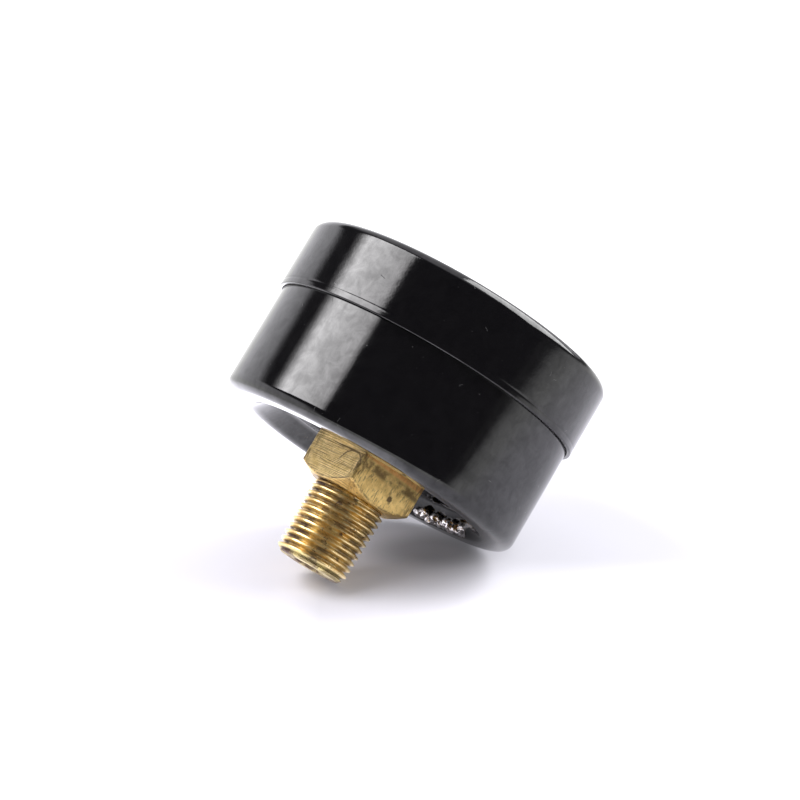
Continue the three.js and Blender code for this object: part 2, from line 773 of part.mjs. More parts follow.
// Both plates share one outline: broad round the pinion, then narrower on the side
// where the link and the tube's tip pass the sector arbor.
function movementPlateShape() {
  const wide = 6.6;
  const narrow = 2.6;
  const low = -6.6;
  const high = centreDistance + 2.3;
  const bevel = 1.8;
  const corners = [
    [low, -wide + bevel],
    [low + bevel, -wide],
    [high - bevel, -wide],
    [high, -wide + bevel],
    [high, narrow - bevel],
    [high - bevel, narrow],
    [wide, narrow],
    [wide - narrow, wide],
    [low + bevel, wide],
    [low, wide - bevel],
  ];
  return outline(corners.map(([along, across]) => onPlate(along, across)));
}

// The front plate has holes for the pointer's shaft, the sector's pivot and the screws.
function frontPlate() {
  const shape = movementPlateShape();
  const screwHoles = [...pillarSpots, ...Object.values(dialScrewSpots)].map((spot) =>
    hole(spot, screwHole),
  );
  shape.holes.push(hole(ORIGIN, pointerShaft + fine), hole(arbor, pivotHole), ...screwHoles);
  return plate(shape, frontPlateFront, frontPlateBack, 5);
}

// The back plate is screwed to the socket's block and carries the riveted pillars.
function backPlate() {
  const shape = movementPlateShape();
  const rivetHoles = pillarSpots.map((spot) => hole(spot, rivetRadius + fine));
  const screwHoles = movementScrewSpots.map((spot) => hole(spot, bigScrewHole));
  shape.holes.push(hole(ORIGIN, pivotHole), hole(arbor, pivotHole), ...rivetHoles, ...screwHoles);
  return plate(shape, backPlateFront, backPlateBack, 5);
}

// A pillar tapped at the front and riveted into the back plate.
function pillar(spot) {
  const radius = 1.2;
  const boreEnd = frontPlateBack + 2;
  const post = turnedRing([
    [screwHole, frontPlateBack + fine],
    [radius, frontPlateBack + fine],
    [radius, backPlateFront - fine],
    [rivetRadius, backPlateFront - fine],
    [rivetRadius, backPlateBack - fine],
    [0, backPlateBack - fine],
    [0, boreEnd],
    [screwHole, boreEnd],
  ]);
  return moved(post, spot);
}

const plateScrew = (spot) =>
  slottedScrew(spot, screwHead, screwShank, frontPlateFront, frontPlateBack + 1.6);
const movementScrew = (spot) =>
  slottedScrew(spot, bigScrewHead, bigScrewShank, backPlateFront, blockFront + 3.4);

// --------------------------------------------------------------------------- assembly

// Each moving group stands on its own turning axis.
const place = (group, spot) => group.position.set(spot.x, 0, spot.y);

const gauge = new THREE.Group();
gauge.add(
  piece("case", caseCup(), blackPaint()),
  piece("bezel", bezel(), blackPaint()),
  piece("lens", lens(), clear()),
  piece("lens_gasket", lensGasket(), rubber()),
  piece("dial", dial(), whiteEnamel()),
  piece("stop_pin", stopPin(), steel()),
  piece("socket", socket(), dullBrass()),
  piece("restrictor_screw", restrictorScrew(), brass()),
  piece("case_solder", caseSolder(), solder()),
  piece("bourdon_tube", bourdonTube(), bronze()),
  piece("tube_root_solder", tubeRootSolder(), solder()),
  piece("front_plate", frontPlate(), brass()),
  piece("back_plate", backPlate(), brass()),
  piece("hairspring", hairspring(), bronze()),
  piece("hairspring_stud", hairspringStud(), brass()),
);
for (const [side, spot] of Object.entries(dialScrewSpots)) {
  gauge.add(piece(`dial_screw_${side}`, dialScrew(spot), steel()));
  gauge.add(piece(`dial_post_${side}`, dialPost(spot), brass()));
}
pillarSpots.forEach((spot, i) => {
  gauge.add(piece(`pillar_${i + 1}`, pillar(spot), brass()));
  gauge.add(piece(`plate_screw_${i + 1}`, plateScrew(spot), steel()));
});
movementScrewSpots.forEach((spot, i) => {
  gauge.add(piece(`movement_screw_${i + 1}`, movementScrew(spot), steel()));
});

const pointerAxis = new THREE.Group();
pointerAxis.name = "pointer_axis";
pointerAxis.add(
  piece("pointer", pointer(), pointerPaint()),
  piece("pointer_hub", pointerHub(), brass()),
  piece("pinion_arbor", pinionArbor(), steel()),
  piece("hairspring_collet", hairspringCollet(), brass()),
);

const sectorAxis = new THREE.Group();
sectorAxis.name = "sector_axis";
place(sectorAxis, arbor);
const tailPinMesh = piece("sector_tail_pin", sectorTailPin(), steel());
place(tailPinMesh, polar(tailLength, tailAngle));
sectorAxis.add(
  piece("sector_gear", sectorGear(), brass()),
  piece("sector_arbor", sectorArbor(), steel()),
  tailPinMesh,
);

const tipAxis = new THREE.Group();
tipAxis.name = "tip_axis";
place(tipAxis, tipCentre);
const tipPinMesh = piece("tip_pin", tipPinSolid(), steel());
place(tipPinMesh, tipPin.clone().sub(tipCentre));
const linkAxis = new THREE.Group();
linkAxis.name = "link_axis";
place(linkAxis, tipPin.clone().sub(tipCentre));
linkAxis.add(piece("link", link(), brass()));
tipAxis.add(piece("tube_tip", tubeTip(), brass()), tipPinMesh, linkAxis);

gauge.add(pointerAxis, sectorAxis, tipAxis);

export default gauge;
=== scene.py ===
"""Looks of a back-connection pressure gauge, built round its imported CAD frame.

Lengths are worked out in millimetres and turned into metres when a mesh is made. The frame is
the CAD one: the dial faces -Y, the stem points to +Y, +Z is the dial's twelve o'clock. Angles
are anticlockwise from three o'clock as seen from the front.
"""

import math

import bmesh
import bpy
import numpy as np
from mathutils import Matrix, Vector, noise


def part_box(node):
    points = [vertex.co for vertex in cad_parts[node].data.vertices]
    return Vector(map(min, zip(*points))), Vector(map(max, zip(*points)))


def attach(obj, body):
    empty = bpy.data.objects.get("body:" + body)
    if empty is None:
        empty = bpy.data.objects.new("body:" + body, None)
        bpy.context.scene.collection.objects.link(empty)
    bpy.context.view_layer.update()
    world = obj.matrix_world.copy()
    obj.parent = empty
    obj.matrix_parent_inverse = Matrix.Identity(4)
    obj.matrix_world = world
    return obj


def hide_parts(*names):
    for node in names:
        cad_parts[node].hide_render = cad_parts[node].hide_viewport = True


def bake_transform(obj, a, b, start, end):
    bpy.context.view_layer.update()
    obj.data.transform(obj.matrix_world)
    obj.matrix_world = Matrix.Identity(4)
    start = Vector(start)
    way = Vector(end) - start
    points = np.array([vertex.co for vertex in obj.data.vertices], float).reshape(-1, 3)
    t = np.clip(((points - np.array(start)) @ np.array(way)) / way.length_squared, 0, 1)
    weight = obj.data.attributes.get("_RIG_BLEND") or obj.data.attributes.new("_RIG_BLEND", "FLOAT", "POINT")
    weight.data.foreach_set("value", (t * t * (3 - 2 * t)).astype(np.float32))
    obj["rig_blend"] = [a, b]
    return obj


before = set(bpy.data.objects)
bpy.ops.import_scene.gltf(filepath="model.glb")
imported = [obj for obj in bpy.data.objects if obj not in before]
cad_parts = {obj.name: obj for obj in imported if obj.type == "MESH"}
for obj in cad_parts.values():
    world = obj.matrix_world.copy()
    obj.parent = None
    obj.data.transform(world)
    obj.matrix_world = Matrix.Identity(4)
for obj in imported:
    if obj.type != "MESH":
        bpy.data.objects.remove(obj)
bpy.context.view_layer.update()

MM = 0.001
DEG = math.pi / 180
JOIN_DISTANCE = 1e-4 * MM
SHARP_ANGLE = 35
NEAR_ZERO = 1e-6

# ------------------------------------------------------------------ sizes from the frame


def span(node, axis):
    """(lowest, highest) of a CAD node along an axis, in millimetres."""
    low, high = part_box(node)
    return low[axis] / MM, high[axis] / MM


X, Y, Z = range(3)
FRONT, LIP = span("bezel", Y)
BEZEL_RADIUS = span("bezel", X)[1]
CASE_FRONT, CASE_BACK = span("case", Y)
CASE_RADIUS = span("case", X)[1]
LENS_FRONT, LENS_BACK = span("lens", Y)
LENS_RADIUS = span("lens", X)[1]
DIAL_FRONT, DIAL_BACK = span("dial", Y)
DIAL_RADIUS = span("dial", X)[1]
POINTER_FRONT = span("pointer", Y)[0]
STEM_END = span("socket", Y)[1]
BLOCK_FRONT = span("socket", Y)[0]
SHOULDER_RADIUS = span("socket", X)[1]
TUBE_FRONT, TUBE_BACK = span("bourdon_tube", Y)

BEZEL_SHEET = 0.5
BEZEL_OPENING = 18.5
BEZEL_CORNER = 1.2
CASE_SHEET = 0.5
CASE_CORNER = 1.6
RECESS_RADIUS = 17.4
RECESS_DEPTH = 2.8
RECESS_FLOOR = CASE_BACK - RECESS_DEPTH
RECESS_SLOPE = 50
RECESS_BEND = 1.6
SHOULDER_BACK = RECESS_FLOOR - CASE_SHEET - 0.05
SHOULDER_FRONT = SHOULDER_BACK - 1.25
COLLAR_END = RECESS_FLOOR + 0.025

SQUARE_FLATS = 25.4 * 7 / 16
SQUARE_END = FRONT + 28.1
SQUARE_CORNER = SQUARE_FLATS / math.sqrt(2)
SQUARE_FACINGS = [(45 + 90 * side) * DEG for side in range(4)]
CHAMFER_START = SQUARE_FLATS / 2 - 0.05
CHAMFER_SLOPE = math.tan(30 * DEG)
THREAD_PITCH = 25.4 / 27
THREAD_HEIGHT = 0.8 * THREAD_PITCH
THREAD_TAPER = 1 / 32
THREAD_TIP_RADIUS = 4.93
THREAD_CHAMFER = 0.75
INLET_RADIUS = 2.0
INLET_DEPTH = 6.5

TUBE_RADIUS = 14.5
TUBE_THICKNESS = 1.6
TUBE_WALL = 0.3
TUBE_ROOT = 231 * DEG
TUBE_FREE = 215 * DEG
TUBE_TIP = -35 * DEG
LUG_HALF_WIDTH = 4.0
POINTER_ZERO = 225 * DEG
POINTER_SWEEP = 270 * DEG

# ---------------------------------------------------------------------------- mesh tools


def in_scene(name, data):
    """A new object in the scene that holds the data."""
    made = bpy.data.objects.new(name, data)
    bpy.context.scene.collection.objects.link(made)
    return made


def mesh_from(bm, name):
    """The mesh that a bmesh holds; the bmesh itself is freed."""
    mesh = bpy.data.meshes.new(name)
    bm.to_mesh(mesh)
    bm.free()
    return mesh


def make_piece(name, points, faces, look, body="housing", sharp=SHARP_ANGLE):
    """A piece from points in millimetres. Doubled points are joined and faces turned outwards."""
    bm = bmesh.new()
    verts = [bm.verts.new([c * MM for c in point]) for point in points]
    for face in faces:
        bm.faces.new([verts[i] for i in face])
    bmesh.ops.remove_doubles(bm, verts=bm.verts, dist=JOIN_DISTANCE)
    bmesh.ops.dissolve_degenerate(bm, edges=bm.edges, dist=JOIN_DISTANCE)
    bmesh.ops.recalc_face_normals(bm, faces=bm.faces)
    mesh = mesh_from(bm, name)
    mesh.shade_smooth()
    mesh.set_sharp_from_angle(angle=sharp * DEG)
    mesh.materials.append(look)
    piece = in_scene(name, mesh)
    if body:
        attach(piece, body)
    return piece


def strip_faces(columns, count, closed=False, base=0):
    """Faces between neighbouring columns, each a ring of `count` points."""
    faces = []
    for i in range(columns if closed else columns - 1):
        here = base + i * count
        there = base + (i + 1) % columns * count
        for k in range(count):
            m = (k + 1) % count
            faces.append((here + k, here + m, there + m, there + k))
    return faces


def capped_strip(columns, count, base=0):
    """Faces of an open row of columns and of its two ends."""
    last = base + (columns - 1) * count
    ends = [tuple(range(base, base + count)), tuple(range(last, last + count))]
    return strip_faces(columns, count, base=base) + ends


def rectangle(inner, outer, front, back):
    """Corners of a rectangular section, taken round it."""
    return [(inner, front), (outer, front), (outer, back), (inner, back)]


def polar(radius, angle):
    return radius * math.cos(angle), radius * math.sin(angle)


def arc(centre_radius, centre_y, radius, start, end, steps=8):
    """Points (radius, y) of an arc in a turned profile, angles in degrees."""
    angles = [(start + (end - start) * i / steps) * DEG for i in range(steps + 1)]
    return [
        (centre_radius + radius * math.cos(a), centre_y + radius * math.sin(a)) for a in angles
    ]


def eased(points, radius=0.06, steps=3):
    """A closed outline with every sharp corner rounded off."""
    out = []
    count = len(points)
    for i, point in enumerate(points):
        here, before, after = (np.array(points[k % count]) for k in (i, i - 1, i + 1))
        back, ahead = before - here, after - here
        lengths = np.linalg.norm(back), np.linalg.norm(ahead)
        turn = np.dot(back, ahead) / (lengths[0] * lengths[1])
        nearly_straight, on_axis = turn < -0.9, here[0] < NEAR_ZERO
        if nearly_straight or on_axis:
            out.append(tuple(point))
            continue
        reach = min(radius, 0.45 * min(lengths))
        first = here + back / lengths[0] * reach
        last = here + ahead / lengths[1] * reach
        for k in range(steps + 1):
            t = k / steps
            out.append(tuple((1 - t) ** 2 * first + 2 * t * (1 - t) * here + t * t * last))
    return out


def turned(profile, sides):
    """Points and faces of a closed (radius, y) outline turned about the gauge axis."""
    points = []
    for i in range(sides):
        angle = 2 * math.pi * i / sides
        for radius, y in profile:
            x, z = polar(radius, angle)
            points.append((x, y, z))
    return points, strip_faces(sides, len(profile), closed=True)


def turned_piece(name, profile, look, body="housing", sides=192, spot=(0, 0)):
    """A turned piece whose axis stands at `spot`."""
    points, faces = turned(profile, sides)
    moved = [(x + spot[0], y, z + spot[1]) for x, y, z in points]
    return make_piece(name, moved, faces, look, body)


def centre_of(node):
    """(x, z) middle of a CAD node in millimetres."""
    return sum(span(node, X)) / 2, sum(span(node, Z)) / 2


# ------------------------------------------------------------------------- material tools


class Shading:
    """A node tree of a material, a light or the world, with short names for its nodes."""

    def __init__(self, tree):
        self.tree = tree

    def node(self, kind, inputs=None, **settings):
        made = self.tree.nodes.new("ShaderNode" + kind)
        for key, value in settings.items():
            setattr(made, key, value)
        for key, value in (inputs or {}).items():
            self.feed(made.inputs[key], value)
        return made

    def feed(self, socket, value):
        if isinstance(value, bpy.types.NodeSocket):
            self.tree.links.new(value, socket)
        elif isinstance(value, tuple) and socket.type == "RGBA" and len(value) == 3:
            socket.default_value = (*value, 1)
        else:
            socket.default_value = value

    def math(self, operation, a, b=0.0):
        return self.node("Math", {0: a, 1: b}, operation=operation).outputs[0]

    def add(self, a, b):
        return self.math("ADD", a, b)

    def minus(self, a, b):
        return self.math("SUBTRACT", a, b)

    def times(self, a, b):
        return self.math("MULTIPLY", a, b)

    def absolute(self, a):
        return self.math("ABSOLUTE", a)

    def dot(self, a, b):
        return self.node("VectorMath", {0: a, 1: b}, operation="DOT_PRODUCT").outputs["Value"]

    def strongest(self, *values):
        """The largest of several masks."""
        total = values[0]
        for value in values[1:]:
            total = self.math("MAXIMUM", total, value)
        return total

    def step(self, value, low, high, start=0.0, end=1.0):
        """value eased from start at low to end at high."""
        inputs = {0: value, 1: low, 2: high, 3: start, 4: end}
        made = self.node("MapRange", inputs, interpolation_type="SMOOTHSTEP")
        return made.outputs[0]

    def mix_shaders(self, share, first, second):
        return self.node("MixShader", {0: share, 1: first.outputs[0], 2: second.outputs[0]})


class Look(Shading):
    """A material, with the patterns that its surfaces are made of."""

    def __init__(self, name):
        self.material = bpy.data.materials.new(name)
        self.material.use_nodes = True
        super().__init__(self.material.node_tree)
        self.principled = self.tree.nodes["Principled BSDF"]
        self.output = self.tree.nodes["Material Output"]

    def set(self, **inputs):
        """Feeds inputs of the surface; an underscore stands for a space in their names."""
        for key, value in inputs.items():
            self.feed(self.principled.inputs[key.replace("_", " ")], value)

    def show(self, shader):
        """Shows a shader in place of the usual surface."""
        self.tree.links.new(shader.outputs[0], self.output.inputs[0])

    def mix(self, share, a, b):
        made = self.node("Mix", data_type="RGBA")
        self.feed(made.inputs[0], share)
        self.feed(made.inputs[6], a)
        self.feed(made.inputs[7], b)
        return made.outputs[2]

    def place(self):
        """Object position in millimetres."""
        coordinates = self.node("TexCoord").outputs["Object"]
        scaled = self.node("VectorMath", {0: coordinates, "Scale": 1 / MM}, operation="SCALE")
        return scaled.outputs[0]

    def split(self, vector):
        return self.node("SeparateXYZ", {0: vector}).outputs

    def vector(self, x=0.0, y=0.0, z=0.0):
        return self.node("CombineXYZ", {0: x, 1: y, 2: z}).outputs[0]

    def stretched(self, place, by_x, by_y, by_z):
        """A place with each of its coordinates scaled."""
        x, y, z = self.split(place)
        return self.vector(self.times(x, by_x), self.times(y, by_y), self.times(z, by_z))

    def unrolled(self, place):
        """(angle, y, radius) of a place round the gauge axis; the angle is in radians."""
        x, y, z = self.split(place)
        radius = self.math("SQRT", self.add(self.times(x, x), self.times(z, z)))
        return self.math("ARCTAN2", z, x), y, radius

    def noise(self, vector, scale, detail=3.0, roughness=0.5, distortion=0.0):
        inputs = {
            "Vector": vector,
            "Scale": scale,
            "Detail": detail,
            "Roughness": roughness,
            "Distortion": distortion,
        }
        return self.node("TexNoise", inputs).outputs[0]

    def specks(self, vector, scale, size, share):
        """Small round spots, in a share of the cells of a scattered grid."""
        cells = self.node("TexVoronoi", {"Vector": vector, "Scale": scale})
        near = self.step(cells.outputs["Distance"], size * scale, 0.4 * size * scale)
        chosen = self.math("LESS_THAN", self.split(cells.outputs["Color"])[0], share)
        return self.times(near, chosen)

    def fibres(self, vector, scale, length, width, share, bend):
        """Short curved hairs lying every way on a flat vector, in a share of the cells."""
        inputs = {"Vector": vector, "Scale": scale}
        cells = self.node("TexVoronoi", inputs, voronoi_dimensions="2D")
        ends = {0: vector, 1: cells.outputs["Position"]}
        offset = self.node("VectorMath", ends, operation="SUBTRACT").outputs[0]
        red, green, _ = self.split(cells.outputs["Color"])
        turning = {"Vector": offset, "Angle": self.times(red, 2 * math.pi)}
        along, across, _ = self.split(self.node("VectorRotate", turning).outputs[0])
        curve = self.times(self.times(along, along), bend)
        aside = self.absolute(self.minus(across, curve))
        thin = self.step(aside, width, 0.3 * width)
        short = self.step(self.absolute(along), length, 0.8 * length)
        chosen = self.math("LESS_THAN", green, share)
        return self.times(self.times(thin, short), chosen)

    def bump(self, height, depth, under=None):
        """A normal from a height of 0 to 1 that stands for `depth` millimetres."""
        made = self.node("Bump", {"Height": height, "Distance": self.times(depth, MM)})
        if under is not None:
            self.feed(made.inputs["Normal"], under)
        return made.outputs[0]


def gloss_paint(name, peel, grain, streak):
    """Black stoved paint; `peel`, `grain` and `streak` are the heights of its unevenness."""
    look = Look(name)
    place = look.place()
    angle, y, radius = look.unrolled(place)
    around = look.times(angle, BEZEL_RADIUS)
    flat = look.vector(around, y)
    streaky = look.vector(look.times(around, 2.2), look.times(y, 0.45), radius)

    wipe = look.noise(streaky, 1.1, detail=5.0, roughness=0.7, distortion=0.5)
    normal = look.bump(look.noise(place, 1.7, detail=2.5, roughness=0.6), peel)
    normal = look.bump(look.noise(place, 4.2, detail=2.0, roughness=0.6), grain, normal)
    normal = look.bump(wipe, streak, normal)
    scratch = look.fibres(flat, 0.21, 0.45, 0.04, 0.07, bend=0.12)
    normal = look.bump(scratch, -0.01, normal)

    cloud = look.noise(place, 0.55, detail=5.0, roughness=0.68, distortion=0.6)
    sheen = look.add(look.times(look.step(cloud, 0.3, 0.7), 0.2), look.times(wipe, 0.22))
    dust = look.specks(place, 0.62, 0.055, 0.12)
    fine_dust = look.specks(place, 1.7, 0.032, 0.2)
    lint = look.fibres(flat, 0.27, 0.3, 0.022, 0.1, bend=0.5)
    dirt = look.strongest(look.times(dust, 0.7), look.times(fine_dust, 0.5), look.times(lint, 0.45))
    roughness = look.add(look.times(cloud, 0.06), look.times(scratch, 0.35))
    look.set(
        Base_Color=look.mix(dirt, (0.0014, 0.0012, 0.0017), (0.2, 0.2, 0.2)),
        Roughness=look.add(look.add(roughness, 0.045), look.times(dirt, 0.6)),
        Specular_IOR_Level=look.add(sheen, 0.28),
        Normal=normal,
        IOR=1.5,
    )
    return look.material


def distance_to_chamfer(look, y, radius):
    """How far outside the square's chamfer cone a place is, along the axis."""
    drop = look.times(look.minus(radius, CHAMFER_START), CHAMFER_SLOPE)
    return look.minus(look.minus(SQUARE_END, drop), y)


def distance_on_flat(look, place, facing, before_end, aside):
    """Distance from a spot of the flat that faces `facing`, `before_end` from the square's end."""
    x, y, z = look.split(place)
    across = look.add(look.times(x, math.sin(facing)), look.times(z, -math.cos(facing)))
    off_across = look.math("POWER", look.add(across, -aside), 2.0)
    off_along = look.math("POWER", look.add(y, before_end - SQUARE_END), 2.0)
    return look.math("SQRT", look.add(off_along, off_across))


def milling(look, place, first_flat, before_end):
    """Height patterns of the cutter, each with its share: lines, fine lines and chatter."""
    x, y, z = look.split(place)
    second_flat = look.minus(1.0, first_flat)
    wander = look.noise(place, 0.35, detail=2.0)
    slant = look.add(look.times(x, 0.04), look.times(wander, 0.12))
    line_place = look.vector(look.times(x, 0.02), look.add(y, slant), look.times(z, 0.02))
    lines = look.noise(line_place, 3.4, 3.0, 0.75)
    fine_lines = look.noise(line_place, 8.0, 2.0, 0.7)
    chatter = look.noise(look.stretched(place, 1.0, 0.22, 1.0), 3.6, 3.0, 0.6, 0.3)
    near_case = look.step(before_end, 2.9, 4.4)
    line_share = look.times(first_flat, look.add(look.times(near_case, 0.75), 0.25))
    chatter_share = look.times(second_flat, look.step(before_end, 4.2, 3.0, 0.25, 1.0))
    return (lines, line_share), (fine_lines, first_flat), (chatter, chatter_share)


def milled_tone(look, mottle, second_flat, before_end, flat_share):
    """Olive on the first flat, gold on the second, orange by the case, darker on the chamfer."""
    cloudy = look.step(mottle, 0.3, 0.7)
    olive = look.mix(cloudy, (0.56, 0.4, 0.15), (0.82, 0.63, 0.3))
    gold = look.mix(cloudy, (0.62, 0.42, 0.14), (0.9, 0.66, 0.25))
    orange = look.mix(cloudy, (0.72, 0.4, 0.13), (0.92, 0.55, 0.2))
    chamfer = look.mix(cloudy, (0.4, 0.26, 0.085), (0.6, 0.42, 0.16))
    by_case = look.times(second_flat, look.step(before_end, 4.55, 4.8))
    flats = look.mix(by_case, look.mix(second_flat, olive, gold), orange)
    return look.mix(flat_share, chamfer, flats)


def scar_and_pit(look, place, edge_noise, first_flat, before_end):
    """Masks of a ring-shaped scar on the first flat and of a ragged pit on the second."""
    first_facing, second_facing = SQUARE_FACINGS[:2]
    second_flat = look.minus(1.0, first_flat)
    rough_edge = look.times(look.add(edge_noise, -0.5), 0.5)
    ring = distance_on_flat(look, place, first_facing, 2.47, -3.52)
    ring = look.add(ring, look.times(rough_edge, 0.8))
    ring = look.step(look.absolute(look.add(ring, -2.2)), 0.2, 0.07)
    ring = look.times(look.times(ring, first_flat), look.step(before_end, 2.4, 3.4))
    pit = look.add(distance_on_flat(look, place, second_facing, 1.86, -1.39), rough_edge)
    return ring, look.times(look.step(pit, 0.5, 0.3), second_flat)


def square_brass():
    """Dull milled brass: lines across one flat, chatter on the next, stains, a scar, a pit and painted shade
    along the chamfer's edge.
    """
    look = Look("square_brass")
    place = look.place()
    _, y, radius = look.unrolled(place)
    first_flat = look.step(look.split(place)[0], -0.12, 0.12)
    second_flat = look.minus(1.0, first_flat)
    before_end = look.minus(SQUARE_END, y)
    outside_chamfer = distance_to_chamfer(look, y, radius)
    flat_share = look.step(outside_chamfer, 0.03, 0.12)
    mottle = look.noise(place, 1.1, 5.0, 0.65)

    patterns = milling(look, place, first_flat, before_end)
    (lines, line_share), (fine_lines, fine_share), (chatter, chatter_share) = patterns
    normal = look.bump(look.times(lines, look.times(line_share, flat_share)), 0.1)
    normal = look.bump(look.times(fine_lines, fine_share), 0.09, normal)
    normal = look.bump(look.times(chatter, look.times(chatter_share, flat_share)), 0.075, normal)
    normal = look.bump(look.noise(place, 7.0, 4.0, 0.7), 0.012, normal)

    edge_noise = look.noise(place, 2.2, 4.0, 0.7)
    smear = look.step(look.noise(look.stretched(place, 0.9, 0.9, 0.9), 1.0, 5.0, 0.65), 0.36, 0.58)
    smear_band = look.step(look.absolute(look.add(before_end, -3.95)), 0.85, 0.3)
    # Painted shade: a dark line, broken by noise, on the flats along the chamfer's edge.
    by_edge = look.times(look.step(outside_chamfer, 0.45, 0.12), flat_share)
    chamfer_edge_shade = look.times(by_edge, look.step(edge_noise, 0.42, 0.55))
    corner = look.step(radius, SQUARE_CORNER - 1.4, SQUARE_CORNER - 0.3)
    streaks = look.noise(look.stretched(place, 2.5, 0.5, 2.5), 1.2, 3.0, 0.6)
    stains = look.step(look.noise(place, 0.7, 6.0, 0.75, 0.6), 0.6, 0.74)
    ring, pit = scar_and_pit(look, place, edge_noise, first_flat, before_end)
    # The dark marks below are stains, smears, tool marks, the scar and the pit, and the painted shade along
    # the chamfer's edge.
    dirt = look.strongest(
        look.times(look.times(smear, smear_band), look.times(second_flat, 0.75)),
        look.times(chamfer_edge_shade, 0.85),
        look.times(look.times(corner, look.step(streaks, 0.48, 0.58)), 0.75),
        look.times(stains, 0.45),
        look.times(look.times(look.step(lines, 0.48, 0.4), line_share), 0.85),
        look.times(look.times(look.step(fine_lines, 0.5, 0.38), fine_share), 0.6),
        look.times(look.times(look.step(chatter, 0.46, 0.36), chatter_share), 0.55),
        look.times(ring, 0.8),
        look.times(pit, 0.9),
    )
    base = milled_tone(look, mottle, second_flat, before_end, flat_share)
    look.set(
        Base_Color=look.mix(dirt, base, (0.06, 0.032, 0.014)),
        Metallic=look.add(look.times(dirt, -0.4), 0.92),
        Roughness=look.add(look.times(mottle, 0.2), look.add(look.times(dirt, 0.1), 0.3)),
        Normal=normal,
    )
    return look.material


def thread_brass():
    """Brighter turned brass: brown stains and painted shade in the grooves, dark blotches, a paler end."""
    look = Look("thread_brass")
    place = look.place()
    angle, y, radius = look.unrolled(place)
    widening = look.times(look.minus(STEM_END, y), THREAD_TAPER)
    depth = look.minus(look.add(widening, THREAD_TIP_RADIUS), radius)

    mottle = look.noise(place, 0.9, 5.0, 0.6)
    fine = look.noise(place, 6.0, 4.0, 0.7)
    tool = look.noise(look.vector(look.times(angle, 0.6), look.times(y, 9.0), 0.0), 1.0, 3.0, 0.6)
    end_face = look.step(y, STEM_END - 0.9, STEM_END - 0.65)
    normal = look.bump(tool, 0.006)
    normal = look.bump(fine, look.add(look.times(end_face, 0.03), 0.003), normal)

    gold = look.mix(look.step(mottle, 0.35, 0.7), (0.74, 0.53, 0.21), (0.94, 0.77, 0.4))
    pale = look.mix(look.step(fine, 0.4, 0.6), (0.5, 0.41, 0.17), (0.68, 0.59, 0.3))
    groove = look.step(depth, 0.25, 0.6)
    tarnish = look.step(look.noise(place, 0.42, 5.0, 0.65, 0.4), 0.4, 0.6)
    blotch = look.step(look.noise(place, 0.6, 6.0, 0.7, 0.5), 0.56, 0.62)
    # Painted shade: the grooves on the left side of the thread are darkened more than the rest.
    painted_shade_left = look.step(angle, 78 * DEG, 52 * DEG)
    groove_stains_and_shade = look.add(look.times(tarnish, 0.6), look.add(look.times(painted_shade_left, 0.35), 0.08))
    groove_stains_and_shade = look.times(groove, groove_stains_and_shade)
    speckle = look.times(look.step(fine, 0.55, 0.68), look.times(tarnish, 0.7))
    # dirt here also carries the painted shade of the left grooves.
    dirt = look.strongest(groove_stains_and_shade, look.times(blotch, 0.85), speckle)

    look.set(
        Base_Color=look.mix(dirt, look.mix(end_face, gold, pale), (0.1, 0.06, 0.045)),
        Metallic=look.add(look.times(dirt, -0.3), 0.98),
        Roughness=look.add(look.add(look.times(dirt, 0.2), look.times(end_face, 0.15)), 0.32),
        Normal=normal,
    )
    return look.material


def movement_metal(name, light, dark, roughness, grain=1.0):
    """Clean stamped or turned metal with a fine grain and a slight variation of tone."""
    look = Look(name)
    place = look.place()
    x, y, z = look.split(place)
    brushed = look.noise(look.vector(look.times(x, 0.15), y, z), 7.0 * grain, 4.0, 0.7)
    cloud = look.noise(place, 0.6, 4.0, 0.6)
    look.set(
        Base_Color=look.mix(look.step(cloud, 0.3, 0.7), dark, light),
        Metallic=1.0,
        Roughness=look.add(look.times(brushed, 0.2), roughness - 0.1),
        Normal=look.bump(brushed, 0.004),
    )
    return look.material


def bright_solder():
    """Tin solder: mirror bright on the folds, dull and brown where flux was left."""
    look = Look("solder")
    place = look.place()
    skin = look.noise(place, 1.3, 3.0, 0.6, 0.6)
    flux = look.step(look.noise(place, 0.9, 4.0, 0.65, 0.4), 0.54, 0.64)
    grey = look.mix(look.step(skin, 0.4, 0.6), (0.3, 0.28, 0.28), (0.9, 0.87, 0.88))
    look.set(
        Base_Color=look.mix(look.times(flux, 0.8), grey, (0.09, 0.06, 0.045)),
        Metallic=look.add(look.times(flux, -0.4), 1.0),
        Roughness=look.add(look.times(skin, 0.2), 0.06),
        Normal=look.bump(skin, 0.08),
    )
    return look.material


def dial_enamel():
    """Warm white enamel, slightly clouded."""
    look = Look("dial_enamel")
    place = look.place()
    cloud = look.noise(place, 0.4, 4.0, 0.6)
    fine = look.noise(place, 8.0, 3.0, 0.6)
    look.set(
        Base_Color=look.mix(look.step(cloud, 0.3, 0.7), (0.8, 0.79, 0.75), (0.85, 0.845, 0.81)),
        Roughness=look.add(look.times(fine, 0.2), 0.35),
        Normal=look.bump(fine, 0.002),
    )
    return look.material


def ink(name, tone):
    """Flat print or paint of a dark tone, lighter in fine spots."""
    look = Look(name)
    fine = look.noise(look.place(), 6.0, 4.0, 0.65)
    light = tuple(min(1.0, 2.2 * c + 0.01) for c in tone)
    look.set(
        Base_Color=look.mix(look.step(fine, 0.4, 0.75), tone, light),
        Roughness=look.add(look.times(fine, 0.25), 0.4),
        Normal=look.bump(fine, 0.002),
    )
    return look.material


def rubber():
    """Dull black rubber."""
    look = Look("gasket_rubber")
    fine = look.noise(look.place(), 5.0, 5.0, 0.7)
    look.set(
        Base_Color=look.mix(fine, (0.012, 0.012, 0.012), (0.03, 0.03, 0.029)),
        Roughness=look.add(look.times(fine, 0.2), 0.65),
        Normal=look.bump(fine, 0.02),
    )
    return look.material


